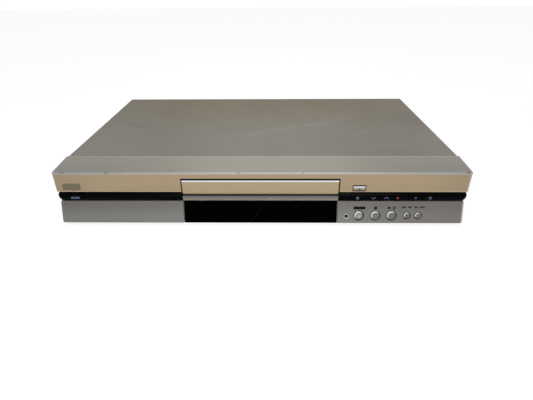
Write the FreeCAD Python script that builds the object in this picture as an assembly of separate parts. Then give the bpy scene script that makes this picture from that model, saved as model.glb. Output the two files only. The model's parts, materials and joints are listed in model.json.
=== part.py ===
import FreeCAD, Part
import math
import os

from FreeCAD import Vector

# A slim disc recorder, 430 mm wide. Millimetres, +Z up, the front faces -Y.
# The origin is under the middle of the machine, on the surface that it stands on.
# "Behind the face" means towards +Y from the front top edge of the shelf.

# Case
case_w = 430.0
case_h = 62.0
foot_h = 4.0
shelf_d = 37.9
shelf_fall = 2.3
shelf_t = 2.2
edge_r = 1.5
cover_gap = 0.7
cover_step = 0.3
cover_d = 229.4
cover_t = 0.8
cover_bend = 1.6
cover_inset = 1.4
cover_hem = 1.0
panel_t = 0.8
panel_recess = 1.2
pan_t = 1.0
pan_flange = 11.0
flange_gap = 0.3

# Front profile
face_inset = 0.8
lower_inset = 2.7
lean_deg = 16.7
lower_run = 24.4
lower_ahead = 0.6
bead_h = 9.9
bead_bulge = 2.6
bead_back = 3.4
bead_side = 11.0
bead_corner = 4.0
fascia_set = 0.4
fascia_t = 1.3
edge_band = 1.8
wall_t = 1.8
wall_gap = 0.2
plate_t = 2.0
plate_gap = 0.4
plate_foot = 0.3
joint_gap = 0.8
cheek_t = 2.0

# Tray door and window
door_mid = -0.6
door_w = 162.2
door_lap = 1.87
door_top_share = 0.44
door_proud = 0.6
door_t = 1.2
door_gap = 1.1
door_side_gap = 0.9
groove_h = 1.9
holder_t = 1.2

# Keys
key_travel = 0.7
key_rest_gap = 0.2
key_gap = 0.3
key_proud = 0.25
band_key_in = 12.1
band_key_end_in = 32.0
band_key_count = 6
band_key_split = 0.5
band_key_rim = 1.1
power_key_in = 19.0
power_key_w = 18.0
stem_w = 6.0
stem_h = 4.0
collar_w = 10.0
collar_h = 6.4
collar_t = 0.8
open_key_in = 21.1
open_key_rise = 4.43
open_key_w = 13.0
open_key_h = 6.0
open_key_proud = 1.0
button_run = 8.46
large_button_in = (22.4, 39.8, 56.6)
small_button_in = (72.8, 84.5)
large_button_r = 4.6
small_button_r = 3.3
button_proud = 1.2
button_dimple_r = 1.5
button_flange = 1.0
indicator_in = 9.3
indicator_r = 2.0
switch_w = 6.0
switch_h = 3.0
plunger_r = 1.7
plunger_h = 0.8
board_t = 1.6
board_back = 12.0
lower_board_back = 8.0
post_r = 2.4

# Flap and front sockets
flap_t = 1.8
flap_axis_in = 2.3
flap_axis_up = 2.0
flap_barrel_r = 1.6
flap_pin_r = 0.8
flap_lug_r = 1.4
flap_skin = 0.7
flap_run_gap = 0.05
flap_ear_x = 6.0
flap_ear_w = 4.0
flap_lug_w = 2.6
recess_back = 14.0
recess_wall = 1.4
recess_margin = 2.4
front_jack_in = (43.5, 30.5, 17.5)
front_video_in = 61.5
front_data_in = 81.5
front_jack_proud = 4.6

# Rear sockets and mains inlet
sleeve_r = 4.15
sleeve_bore_r = 1.6
collar_r = 5.4
collar_proud = 0.8
sleeve_proud = 8.0
socket_hole_gap = 0.45
jack_low_z = 17.5
jack_top_drop = 16.2
socket_screw_past = 9.0
jack_columns = (20.0, 58.0, 80.0)
jack_block_w = 12.0
jack_block_d = 12.0
jack_flange = 0.3
video_jack_x = (38.0, 99.0)
video_jack_r = 5.4
coax_x = 99.0
antenna_in = 47.0
antenna_low_z = 22.0
antenna_top_drop = 19.7
antenna_r = 4.75
antenna_bore_r = 0.9
antenna_proud = 10.0
antenna_collar_r = 6.5
inlet_in = 25.0
inlet_z = 24.0
inlet_w = 24.0
inlet_h = 15.0
inlet_d = 18.0
inlet_lobe_r = 4.1
inlet_pin_pitch = 8.6
inlet_pin_r = 1.2
inlet_depth = 12.5
inlet_pin_len = 9.5

# Fan
fan_x = -60.0
fan_room = 12.0
fan_d = 15.0
fan_rim = 1.7
fan_hub_r = 11.0
fan_tip_gap = 1.0
fan_blades = 7
fan_pitch_deg = 38.0
fan_axle_r = 1.5

# Tray and disc
tray_travel = 148.0
tray_w = 131.0
tray_top = 45.6
tray_bottom = 37.6
tray_front = 2.2
tray_keep = 43.8
tray_wall = 2.0
flange_w = 3.0
flange_t = 2.0
disc_back = 84.0
disc_r = 60.0
well_gap = 0.8
well_depth = 3.8
small_well_r = 40.6
small_well_depth = 1.0
well_floor = 2.2
window_half = 23.0
window_front = 22.0
window_back = 78.0

# Tray drive
rack_module = 1.25
pinion_teeth = 14
wheel_module = 0.8
wheel_teeth = 44
pulley_teeth = 12
pressure_deg = 25.0
tooth_addendum = 0.8
tooth_dedendum = 1.0
tooth_play = 0.14
rack_line_x = 61.0
rack_h = 3.8
rack_spine = 1.4
pinion_back = 38.0
pulley_angle_deg = -15.0
pulley_r = 13.0
motor_pulley_r = 3.5
belt_r = 0.6
belt_gap = 0.1
motor_side = 38.0
gear_shaft_r = 2.0
run_gap = 0.05
deck_z = 28.0
deck_t = 2.0
pulley_h = 2.8
wheel_h = 1.8
gear_gap = 0.3
drive_motor_r = 10.0
drive_motor_h = 13.6

# Drive frame
drive_front = 15.5
drive_back = 200.0
drive_wall = 2.5
drive_wall_gap = 2.5
drive_foot_h = 5.0
drive_floor_t = 2.0
drive_top = 48.6
rail_gap = 0.3
ledge_t = 2.2

# Clamp bridge and clamper
bridge_t = 1.2
bridge_w = 40.0
clamper_r = 13.5
clamper_flange_r = 17.5
clamper_flange_t = 1.2
clamper_low = 46.2
clamper_recess_r = 8.4
clamper_recess = 1.8
clamper_gap = 0.7

# Traverse, drawn level as it stands when a disc plays, then lowered about its hinge
lift_deg = 5.0
hinge_back = 165.0
hinge_z = 30.0
hinge_pin_r = 1.5
hinge_pin_len = 5.0
base_half = 38.0
base_front = 60.0
base_z = 34.0
base_t = 2.5
disc_seat_z = 44.2
turntable_r = 14.5
cone_r = 7.3
cone_h = 2.0
spindle_r = 1.5
spindle_motor_r = 16.0
rod_x = 22.0
rod_z = 37.4
rod_r = 1.5
lens_start = 24.0
sled_travel = 35.0
sled_d = 21.5
sled_ahead = 7.0
sled_spare = 2.0
sled_lead = 3.0
screw_x = 31.0
screw_z = 33.4
screw_r = 1.4
screw_seat_d = 97.0
screw_plain = 5.0
screw_groove = 0.4
feed_motor_r = 5.0
feed_motor_len = 24.0
lens_r = 3.4
lens_travel = 0.6
lens_ring_h = 3.6
lens_under = 6.2

# Screws, vents and feet
cover_screw_z = 10.5
cover_screw_backs = (66.0, 244.0)
rear_screw_drop = 5.4
rear_screw_in = 65.0
rear_drop = 9.0
hole_gap = 0.2
cover_screw_r = 1.5
cover_head_r = 2.9
cover_head_h = 1.4
side_vent_rows = 12
side_vent_pitch = 5.0
side_vent_w = 2.2
side_vent_h = 20.0
side_vent_z = 24.0
side_vent_back = 176.0
pan_front_d = 15.0
foot_backs = (30.0, 240.0)
foot_in = 37.0
foot_r = 11.0
foot_bore_r = 3.4
foot_seat = 1.8
foot_screw_r = 1.4
pan_vent_rows = 9
pan_vent_pitch = 6.0
pan_vent_w = 2.4
pan_vent_len = 66.0
pan_vent_backs = (80.0, 150.0)
pan_vent_left_in = 25.0
pan_vent_right_in = 105.0
boss_r = 3.2
drive_post_backs = (24.0, 190.0)
grille_in = 2.3
grille_hub_r = 5.0
grille_rings = 4
grille_bar = 1.6
rear_vent_rows = 8
vent_past_inlet = 25.0
vent_before_fan = 45.0
panel_flange = 12.0

# Openings and posts of the front moulding
slot_gap = 0.8
view_in = 22.9
view_run0 = 6.5
view_run1 = 20.5
lower_post_runs = (8.0, 18.0)
left_post_in = 32.0
left_post_z = 32.3
inner_post_in = 4.1
inner_post_z = 31.2
open_post_in = 6.1
right_post_past = 4.0
right_post_z = 33.0
tongue_d = 6.0
bottom_back_d = 14.6
button_hole_gap = 0.45
cheek_bead_back = 4.4

# Data socket and socket blocks
data_w = 8.4
data_h = 5.6
data_mouth_w = 5.6
data_mouth_h = 3.0
front_block_d = 11.0
front_block_h = 17.0
groove_out = 0.9
groove_in = 1.9
groove_deep = 5.0

# Display tube and key boards
tube_view_h = 16.0
tube_d = 6.0
tube_foot = 9.0
board_left_in = 9.0
board_right_in = 23.0
lower_board_in = 2.1
lower_board_w = 94.0
board_low_z = 8.5
board_mid_z = 33.0
board_left_low = 27.8
board_left_high = 37.0
board_right_high = 47.0

# Tray rim and drive details
well_rib_r = 2.2
grip_r = 9.0
motor_shaft_r = 1.0
rest_half = 8.0
rest_d = 3.0
hinge_post_w = 4.0
base_window_x0 = -26.0
base_window_x1 = 27.0
base_window_d0 = 100.5
skirt_h = 4.0
rod_seat_w = 5.0
rod_clear = 0.05

# Tuner
tuner_w = 46.0
tuner_deep = 62.0
tuner_drop = 10.1

# Main board: its chips are (share of the board's width, back, wide, deep, high)
main_beside = 17.1
board_edge = 3.0
board_front_d = 62.0
main_back_d = 262.0
strip_x0 = 4.0
strip_front_d = 206.0
post_in = 6.0
post_side_in = 7.5
board_post_backs = (72.0, 196.0)
strip_post_in = 10.0
strip_post_backs = (214.0, 256.0)
main_chips = ((0.187, 90.0, 28.0, 28.0, 3.0), (0.511, 96.0, 16.0, 30.0, 2.4),
              (0.732, 96.0, 16.0, 30.0, 2.4),
              (0.238, 140.0, 20.0, 20.0, 2.6), (0.596, 148.0, 24.0, 14.0, 2.4), (0.902, 150.0, 8.0, 36.0,
                                                                                 9.0),
              (0.085, 176.0, 8.0, 30.0, 8.0))
strip_chips = ((26.0, 224.0, 18.0, 18.0, 2.4), (62.0, 226.0, 22.0, 12.0, 2.2))
cooler_fins = 6
cooler_fin_t = 1.2
cooler_fin_h = 11.0

# Power board: its coils, fuse and plugs are (share of the board's width, back, wide, deep, high)
power_beside = 13.9
power_back_d = 258.0
power_post_in = 10.0
power_post_backs = (72.0, 244.0)
power_parts = ((0.096, 214.0, 22.0, 20.0, 24.0), (0.397, 220.0, 18.0, 18.0, 18.0),
               (0.749, 216.0, 20.0, 12.0, 9.0),
               (0.866, 90.0, 10.0, 40.0, 10.0), (0.079, 80.0, 12.0, 30.0, 8.0))
plate_share = 0.180
plate_front_d = 120.0
plate_back_d = 200.0
plate_h = 34.0
plate_fins = 8
plate_fin_t = 1.4
plate_fin_out = 8.0
core_share = 0.515
core_back_d = 150.0
core_w = 36.0
core_deep = 22.0
core_h = 30.0
core_leg = 7.0
core_yoke = 4.0
bobbin_deep = 28.0
bobbin_gap = 0.2
capacitors = ((0.515, 190.0, 11.0, 34.0), (0.799, 160.0, 6.5, 24.0), (0.799, 180.0, 6.5, 24.0),
              (0.749, 112.0, 5.0, 18.0), (0.632, 100.0, 5.0, 18.0))

# Places worked out from the sizes above
lean = math.radians(lean_deg)
front_reach = lower_ahead + lower_run * math.sin(lean)
cover_front_d = shelf_d + cover_gap
cover_back_d = cover_front_d + cover_d
panel_out_d = cover_back_d - cover_t - flange_gap
panel_in_d = panel_out_d - panel_t
face_y = -(panel_out_d + antenna_proud - front_reach) / 2
bead_z0 = foot_h + lower_run * math.cos(lean)
bead_z1 = bead_z0 + bead_h
edge_z = case_h - shelf_fall
bead_half = case_w / 2
face_half = case_w / 2 - face_inset
left_side = -case_w / 2
right_side = case_w / 2
lower_half = case_w / 2 - lower_inset
cover_half = case_w / 2 - cover_inset
inner_half = cover_half - cover_t - flange_gap
cover_z = case_h - cover_step
pan_top = foot_h + pan_t
fascia_y = face_y + fascia_set
wall_y = fascia_y + fascia_t + wall_gap
bead_wall_y = face_y + bead_back + wall_gap
board_y = face_y + board_back
door_z0 = bead_z1 - door_lap
door_z1 = tray_top + (edge_z - edge_band - tray_top) * door_top_share
door_x0 = door_mid - door_w / 2
door_x1 = door_mid + door_w / 2
bead_x0 = door_x0 - plate_gap
bead_x1 = door_x1 + plate_gap
window_x0 = door_x0 + plate_gap
window_x1 = door_x1 - plate_gap
band_key_x0 = bead_x1 + band_key_in
band_key_x1 = right_side - band_key_end_in
band_key_pitch = (band_key_x1 - band_key_x0) / band_key_count
power_key_x = left_side + power_key_in
open_key_x = bead_x1 + open_key_in
open_key_z = bead_z1 + open_key_rise
indicator_x = bead_x1 + indicator_in
large_button_x = [bead_x1 + across for across in large_button_in]
small_button_x = [bead_x1 + across for across in small_button_in]
lower_board_x0 = bead_x1 + lower_board_in
lower_board_x1 = lower_board_x0 + lower_board_w
board_left_x = left_side + board_left_in
board_right_x = right_side - board_right_in
upper_post_places = [
    (left_side + left_post_in, left_post_z), (bead_x0 + inner_post_in, inner_post_z),
    (bead_x1 - inner_post_in, inner_post_z), (bead_x1 + open_post_in, open_key_z),
    (band_key_x1 + right_post_past, right_post_z),
]
view_x0 = window_x0 + view_in
view_x1 = window_x1 - view_in
recess_x0 = -lower_half + recess_margin
recess_x1 = window_x0 - joint_gap - recess_margin
front_jack_x = [recess_x1 - across for across in front_jack_in]
front_video_x = recess_x1 - front_video_in
front_data_x = recess_x1 - front_data_in
inlet_x = left_side + inlet_in
antenna_x = right_side - antenna_in
foot_x = right_side - foot_in
rear_screw_x = (left_side + rear_screw_in, 0.0, right_side - rear_screw_in)
pan_vents = [(x, back) for x in (left_side + pan_vent_left_in, right_side - pan_vent_right_in)
             for back in pan_vent_backs]
disc_y = face_y + disc_back
tray_half = tray_w / 2
tray_y0 = face_y + tray_front
tray_len = tray_travel + tray_keep
tray_y1 = tray_y0 + tray_len
floor_z = pan_top + drive_foot_h
pinion_r = rack_module * pinion_teeth / 2
wheel_r = wheel_module * wheel_teeth / 2
pulley_pinion_r = wheel_module * pulley_teeth / 2
pinion_x = door_mid - rack_line_x + pinion_r
pinion_y = face_y + pinion_back
pulley_angle = math.radians(pulley_angle_deg)
pulley_x = pinion_x + (wheel_r + pulley_pinion_r) * math.cos(pulley_angle)
pulley_y = pinion_y + (wheel_r + pulley_pinion_r) * math.sin(pulley_angle)
motor_x = pulley_x + motor_side
pulley_z = deck_z + gear_gap
wheel_z = pulley_z + pulley_h + gear_gap
pinion_z = wheel_z + wheel_h
rack_z = tray_bottom - rack_h
hinge_y = face_y + hinge_back
side_half = tray_half + flange_w + drive_wall_gap
drive_half = side_half + drive_wall
main_x0 = door_mid + drive_half + main_beside
main_x1 = inner_half - pan_t - board_edge
power_x0 = -main_x1
power_x1 = door_mid - drive_half - power_beside
main_board_posts = [(x, back) for x in (main_x0 + post_in,
                                        main_x1 - post_side_in) for back in board_post_backs]
main_board_posts += [(strip_x0 + strip_post_in, back) for back in strip_post_backs]
power_board_posts = [(x, back) for x in (power_x0 + post_side_in, power_x1 - power_post_in)
                     for back in power_post_backs]
lens_y = disc_y + lens_start
lens_low = disc_seat_z - lens_under
base_window_d1 = disc_back + lens_start - sled_ahead + sled_d + sled_travel + sled_spare
jack_top_z = cover_z - jack_top_drop
jack_rows = (jack_low_z, (jack_low_z + jack_top_z) / 2, jack_top_z)
antenna_z = (antenna_low_z, cover_z - antenna_top_drop)
tuner_h = cover_z - tuner_drop - floor_z - board_t
fan_size = case_h - fan_room
fan_bore_r = fan_size / 2 - fan_rim
fan_blade_r = fan_bore_r - fan_tip_gap
grille_r = fan_bore_r - grille_in
rear_vent_x = (inlet_x + vent_past_inlet, fan_x - vent_before_fan)
fan_y1 = face_y + panel_in_d - wall_gap
fan_y0 = fan_y1 - fan_d
fan_z = pan_top + wall_gap + fan_size / 2

X = Vector(1, 0, 0)
Y = Vector(0, 1, 0)
Z = Vector(0, 0, 1)


def box(x0, x1, y0, y1, z0, z1):
    """A block between two corners."""
    return Part.makeBox(x1 - x0, y1 - y0, z1 - z0, Vector(x0, y0, z0))


def rod(x, y, z, radius, length, axis=Z):
    """A round bar that starts at x, y, z and runs along the axis."""
    return Part.makeCylinder(radius, length, Vector(x, y, z), axis)


def tube(x, y, z, outer, inner, length, axis=Z):
    """A round bar with a bore through it."""
    return rod(x, y, z, outer, length, axis).cut(rod(x, y, z, inner, length, axis))


def join(*pieces):
    """The pieces made one solid."""
    return pieces[0].multiFuse(list(pieces[1:])).removeSplitter()


def cut(body, *tools):
    """The body with the tools taken out of it."""
    return body.cut(list(tools))


def outline(corners, place):
    """A closed wire through corners (a, b, radius), each rounded by its own radius."""
    edges = []
    ends = []
    count = len(corners)
    for n in range(count):
        ax, ay, radius = corners[n]
        before = Vector(corners[n - 1][0] - ax, corners[n - 1][1] - ay, 0).normalize()
        after = Vector(corners[(n + 1) % count][0] - ax, corners[(n + 1) % count][1] - ay, 0).normalize()
        corner = Vector(ax, ay, 0)
        if radius <= 0:
            ends.append((corner, corner))
            continue
        half = before.getAngle(after) / 2
        reach = radius / math.tan(half)
        middle = (before + after).normalize()
        start = corner + before * reach
        end = corner + after * reach
        top = corner + middle * (radius / math.sin(half) - radius)
        ends.append((start, end))
        edges.append(Part.Arc(place(start), place(top), place(end)).toShape())
    for n in range(count):
        start = ends[n - 1][1]
        end = ends[n][0]
        if start.distanceToPoint(end) > 1e-6:
            edges.append(Part.LineSegment(place(start), place(end)).toShape())
    return Part.Wire(Part.__sortEdges__(edges))


def along_x(corners, x0, x1):
    """A bar of section (y, z) between two places on X."""
    wire = outline(corners, lambda p: Vector(x0, p.x, p.y))
    return Part.Face(wire).extrude(Vector(x1 - x0, 0, 0))


def along_y(corners, y0, y1):
    """A bar of section (x, z) between two places on Y."""
    wire = outline(corners, lambda p: Vector(p.x, y0, p.y))
    return Part.Face(wire).extrude(Vector(0, y1 - y0, 0))


def along_z(corners, z0, z1):
    """A plate of outline (x, y) between two heights."""
    wire = outline(corners, lambda p: Vector(p.x, p.y, z0))
    return Part.Face(wire).extrude(Vector(0, 0, z1 - z0))


def rounded(a0, a1, b0, b1, radius):
    """The four corners of a rectangle, all of one radius."""
    return [(a0, b0, radius), (a1, b0, radius), (a1, b1, radius), (a0, b1, radius)]


def turned(shape, centre, axis, degrees):
    """A copy turned about an axis through the centre."""
    moved = shape.copy()
    moved.rotate(centre, axis, degrees)
    return moved


def leaned(shape):
    """Move a shape drawn upright (outer face on y = 0, foot on z = 0) onto the leaning lower front."""
    moved = shape.copy()
    moved.rotate(Vector(0, 0, 0), X, -lean_deg)
    moved.translate(Vector(0, face_y - front_reach, foot_h))
    return moved


def lowered(shape):
    """Move a traverse piece, drawn level, down to its rest place about the hinge."""
    return turned(shape, Vector(0, hinge_y, hinge_z), X, lift_deg)


def screw(x, y, z, axis, head_r, head_h, shank_r, shank_len):
    """A pan-head screw with a cross recess: its head stands out along the axis from x, y, z."""
    head = Part.makeCone(head_r, head_r * 0.72, head_h)
    shank = rod(0, 0, -shank_len, shank_r, shank_len + head_h / 2)
    slot_long = head_r * 0.6
    slot_wide = head_r * 0.14
    recess = box(-slot_long, slot_long, -slot_wide, slot_wide, head_h * 0.45, head_h * 2)
    cross = turned(recess, Vector(0, 0, 0), Z, 90)
    made = cut(join(head, shank), recess, cross)
    made.Placement = FreeCAD.Placement(Vector(x, y, z), FreeCAD.Rotation(Z, axis))
    return made


def save(node, *pieces):
    """Write one node's file from its solids."""
    solids = []
    for piece in pieces:
        solids += piece.Solids
    shape = solids[0] if len(solids) == 1 else Part.makeCompound(solids)
    shape.exportStep("parts/" + node + ".step")


def band_key_centres():
    """The middle of each key in the right band, on X."""
    return [band_key_x0 + band_key_pitch * (n + 0.5) for n in range(band_key_count)]


def bead_mid_z():
    """The height of the middle of the black bead."""
    return (bead_z0 + bead_z1) / 2


def bead_section(back, low, high, proud=0.0):
    """The bead's section (y, z) between two heights, its front bowed outwards."""
    rise = bead_z1 - bead_z0
    sag = bead_bulge
    radius = (rise * rise / 4 + sag * sag) / (2 * sag)
    centre_y = face_y - sag + radius

    def front(z):
        return centre_y - math.sqrt((radius + proud) ** 2 - (z - bead_mid_z()) ** 2)

    middle = (low + high) / 2

    def place(x, z):
        return Vector(x, front(z), z)

    def face(x):
        curve = Part.Arc(place(x, low), place(x, middle), place(x, high)).toShape()
        ends = [place(x, high), Vector(x, back, high), Vector(x, back, low), place(x, low)]
        if front(high) > back - 1e-6:
            ends = [ends[0], ends[3]]
        return Part.Face(Part.Wire([curve] + Part.makePolygon(ends).Edges))

    return face


def bead_bar(x0, x1, back, low, high, proud=0.0):
    """A straight length of the bead."""
    return bead_section(back, low, high, proud)(x0).extrude(Vector(x1 - x0, 0, 0))


def cover_sheet_section(half, top, low, bend, sheet):
    """The bent sheet's section: two sides and a top."""
    return [
        (-half, low, 0), (-half, top, bend), (half, top, bend), (half, low, 0),
        (half - sheet, low, 0), (half - sheet, top - sheet, bend - sheet),
        (-half + sheet, top - sheet, bend - sheet), (-half + sheet, low, 0),
    ]


def top_cover():
    """The bent steel sheet over the top and both sides, with a fold down behind."""
    y0 = face_y + cover_front_d
    y1 = face_y + cover_back_d
    section = cover_sheet_section(cover_half, cover_z, foot_h + cover_hem, cover_bend, cover_t)
    sheet = along_y(section, y0, y1)
    fold_half = cover_half - cover_bend
    fold = box(-fold_half, fold_half, y1 - cover_t, y1, cover_z - rear_drop, cover_z - cover_t / 2)
    holes = []
    for side in (-1, 1):
        for n in range(side_vent_rows):
            y = face_y + side_vent_back + n * side_vent_pitch
            slot = rounded(y, y + side_vent_w, side_vent_z, side_vent_z + side_vent_h, side_vent_w * 0.49)
            middle = side * cover_half
            holes.append(along_x(slot, middle - cover_t * 2, middle + cover_t * 2))
        for back in cover_screw_backs:
            start = side * (cover_half - cover_t * 3)
            holes.append(rod(start, face_y + back, cover_screw_z, cover_screw_r + hole_gap, cover_t * 6,
                             X * side))
    for x in rear_screw_x:
        holes.append(rod(x, y1 - 4, cover_z - rear_screw_drop, cover_screw_r + hole_gap, 8, Y))
    return cut(join(sheet, fold), *holes)


def drive_post_places():
    """Where the disc drive stands on the pan."""
    half = side_half - 6
    return [(door_mid + side * half, back) for side in (-1, 1) for back in drive_post_backs]


def base_pan():
    """The steel pan under everything, with turned-up sides, bosses and vents."""
    y0 = face_y + pan_front_d
    y1 = face_y + panel_in_d
    half = inner_half
    plate = box(-half, half, y0, y1, foot_h, pan_top)
    sides = [
        box(side * half - (pan_t if side > 0 else 0), side * half + (0 if side > 0 else pan_t),
            y0, y1, foot_h, foot_h + pan_flange)
        for side in (-1, 1)
    ]
    front = box(-half, half, y0, y0 + pan_t, foot_h, pan_top + 2)
    places = main_board_posts + power_board_posts + drive_post_places()
    bosses = [rod(x, face_y + back, foot_h, boss_r, pan_t + drive_foot_h) for x, back in places]
    beside = lower_half - cheek_t - flange_gap
    holes = [box(-case_w, -beside, y0 - 1, face_y + shelf_d + flange_gap, 0, case_h),
             box(beside, case_w, y0 - 1, face_y + shelf_d + flange_gap, 0, case_h)]
    for x, back in pan_vents:
        for n in range(pan_vent_rows):
            y = face_y + back + n * pan_vent_pitch
            holes.append(box(x, x + pan_vent_len, y, y + pan_vent_w, foot_h - 1, pan_top + 1))
    for side in (-1, 1):
        for back in foot_backs:
            holes.append(rod(side * foot_x, face_y + back, foot_h - 1, foot_screw_r + hole_gap, pan_t + 2))
        for back in cover_screw_backs:
            start = side * (half - pan_t * 3)
            holes.append(rod(start, face_y + back, cover_screw_z, cover_screw_r + hole_gap / 2, pan_t * 6,
                             X * side))
    return cut(join(plate, front, *sides, *bosses), *holes)


def foot_places():
    """Where the feet stand, on X and Y."""
    return [(side * foot_x, face_y + back) for side in (-1, 1) for back in foot_backs]


def feet():
    """Four round rubber feet, each with a bore for its screw."""
    made = []
    for x, y in foot_places():
        body = Part.makeCone(foot_r - 1.2, foot_r, foot_h, Vector(x, y, 0))
        bore = rod(x, y, -1, foot_bore_r, foot_h - foot_seat + 1)
        way = rod(x, y, -1, foot_screw_r + hole_gap, foot_h + 2)
        made.append(cut(body, bore, way))
    return made


def case_screws():
    """The screws of the cover, the rear panel and the feet."""
    made = []
    for side in (-1, 1):
        for back in cover_screw_backs:
            made.append(screw(side * cover_half, face_y + back, cover_screw_z, X * side,
                              cover_head_r, cover_head_h, cover_screw_r, cover_t + flange_gap + pan_t + 3))
    for x in rear_screw_x:
        made.append(screw(x, face_y + cover_back_d, cover_z - rear_screw_drop, Y,
                          cover_head_r, cover_head_h, cover_screw_r, cover_t + flange_gap + panel_t + 3))
    for x, z in socket_screws():
        made.append(screw(x, face_y + panel_out_d, z, Y, cover_head_r, cover_head_h, cover_screw_r,
                          panel_t + 3))
    for x, y in foot_places():
        made.append(screw(x, y, foot_h - foot_seat, -Z, foot_bore_r * 0.85, 1.2, foot_screw_r,
                          foot_seat + pan_t + 2))
    return made



def socket_screws():
    """The screws that hold the socket blocks to the rear panel."""
    middle = (jack_rows[0] + jack_rows[1]) / 2
    places = [(x + socket_screw_past, middle) for x in jack_columns]
    places += [(inlet_x + side * (inlet_w / 2 + 5), inlet_z) for side in (-1, 1)]
    return places


def rear_sleeve_places():
    """Every round sound or picture socket behind, on X and Z."""
    places = [(x, z) for x in jack_columns for z in jack_rows]
    places.append((coax_x, jack_rows[0]))
    return places


def grille():
    """The openings in front of the fan: rings, parted by two bars."""
    y = face_y + panel_in_d - 2
    step = (grille_r - grille_hub_r) / grille_rings
    rings = []
    for n in range(grille_rings):
        inner = grille_hub_r + n * step
        rings.append(tube(fan_x, y, fan_z, inner + step - grille_bar, inner, panel_t + 4, Y))
    bars = []
    for degrees in (45, 135):
        bar = box(fan_x - grille_r * 2, fan_x + grille_r * 2, y - 1, y + panel_t + 6, fan_z - 1, fan_z + 1)
        bars.append(turned(bar, Vector(fan_x, y, fan_z), Y, degrees))
    return Part.makeCompound([ring.cut(bars) for ring in rings])


def rear_panel():
    """The rear sheet: holes for the sockets, the inlet and the fan, and a flange under the cover."""
    y0 = face_y + panel_in_d
    y1 = face_y + panel_out_d
    half = inner_half - flange_gap
    top = cover_z - cover_t - flange_gap
    bend = cover_bend
    sheet = along_y([(-half, pan_top, 0), (half, pan_top, 0), (half, top, bend), (-half, top, bend)], y0,
                    y1)
    flange = box(-half + 10, half - 10, y0 - panel_flange, y1, top - panel_t, top)
    holes = [grille()]
    start = y0 - 1
    deep = panel_t + 2
    for x, z in rear_sleeve_places():
        holes.append(rod(x, start, z, collar_r + socket_hole_gap, deep, Y))
    for x in video_jack_x:
        holes.append(rod(x, start, jack_rows[2], video_jack_r + socket_hole_gap, deep, Y))
    for z in antenna_z:
        holes.append(rod(antenna_x, start, z, antenna_r + socket_hole_gap, deep, Y))
    holes.append(box(inlet_x - inlet_w / 2 - key_gap, inlet_x + inlet_w / 2 + key_gap, start, y1 + 1,
                     inlet_z - inlet_h / 2 - key_gap, inlet_z + inlet_h / 2 + key_gap))
    for x, z in socket_screws():
        holes.append(rod(x, start, z, cover_screw_r + hole_gap / 2, deep, Y))
    for x in rear_screw_x:
        holes.append(rod(x, start, cover_z - rear_screw_drop, cover_screw_r + hole_gap / 2, deep, Y))
    for x in rear_vent_x:
        for n in range(rear_vent_rows):
            left = x + n * side_vent_pitch
            holes.append(box(left, left + side_vent_w, start, y1 + 1, side_vent_z,
                             side_vent_z + side_vent_h))
    return cut(join(sheet, flange), *holes)


def stem_wall_holes():
    """Holes in the front wall for the stems of the bead keys and the open key."""
    z = bead_mid_z()
    places = [(x, z) for x in band_key_centres()] + [(power_key_x, z), (open_key_x, open_key_z)]
    wide = stem_w / 2 + key_gap
    high = stem_h / 2 + key_gap
    return [box(x - wide, x + wide, face_y - 5, board_y, z - high, z + high) for x, z in places]


def tray_way():
    """The way of the tray, its side flanges and its rack through the front."""
    y0 = face_y - 5
    y1 = board_y
    half = tray_half + flange_w + slot_gap
    slot = box(door_mid - half, door_mid + half, y0, y1, tray_bottom - slot_gap, tray_top + slot_gap)
    rack_x0 = door_mid - tray_half - slot_gap
    rack_x1 = pinion_x - pinion_r + rack_module + slot_gap
    return [slot, box(rack_x0, rack_x1, y0, y1, rack_z - slot_gap, tray_bottom)]


def cheek(side):
    """One side wall of the front moulding."""
    y_back = face_y + shelf_d
    foot = leaned_point(plate_t + wall_gap, plate_foot)
    knee = leaned_point(plate_t + wall_gap, lower_run)
    corners = [
        (foot.y, foot.z, 0), (knee.y, knee.z, 0), (face_y + cheek_bead_back, bead_z0, 0),
        (face_y + cheek_bead_back, bead_z1, 0), (wall_y, bead_z1, 0), (wall_y, edge_z - shelf_t / 2, 0),
        (y_back, case_h - shelf_t / 2, 0), (y_back, foot_h + cover_hem, 0),
    ]
    inner = side * (lower_half - cheek_t)
    outer = side * lower_half
    wall = along_x(corners, min(inner, outer), max(inner, outer))
    high = corners[3:7] + [(y_back, bead_z1, 0)]
    skin = along_x(high, min(outer, side * face_half), max(outer, side * face_half))
    return join(wall, skin)


def leaned_point(inward, run):
    """A point of the leaning lower front: how far inward of its face, and how far up it."""
    y = face_y - front_reach + inward * math.cos(lean) + run * math.sin(lean)
    z = foot_h - inward * math.sin(lean) + run * math.cos(lean)
    return Vector(0, y, z)


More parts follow.
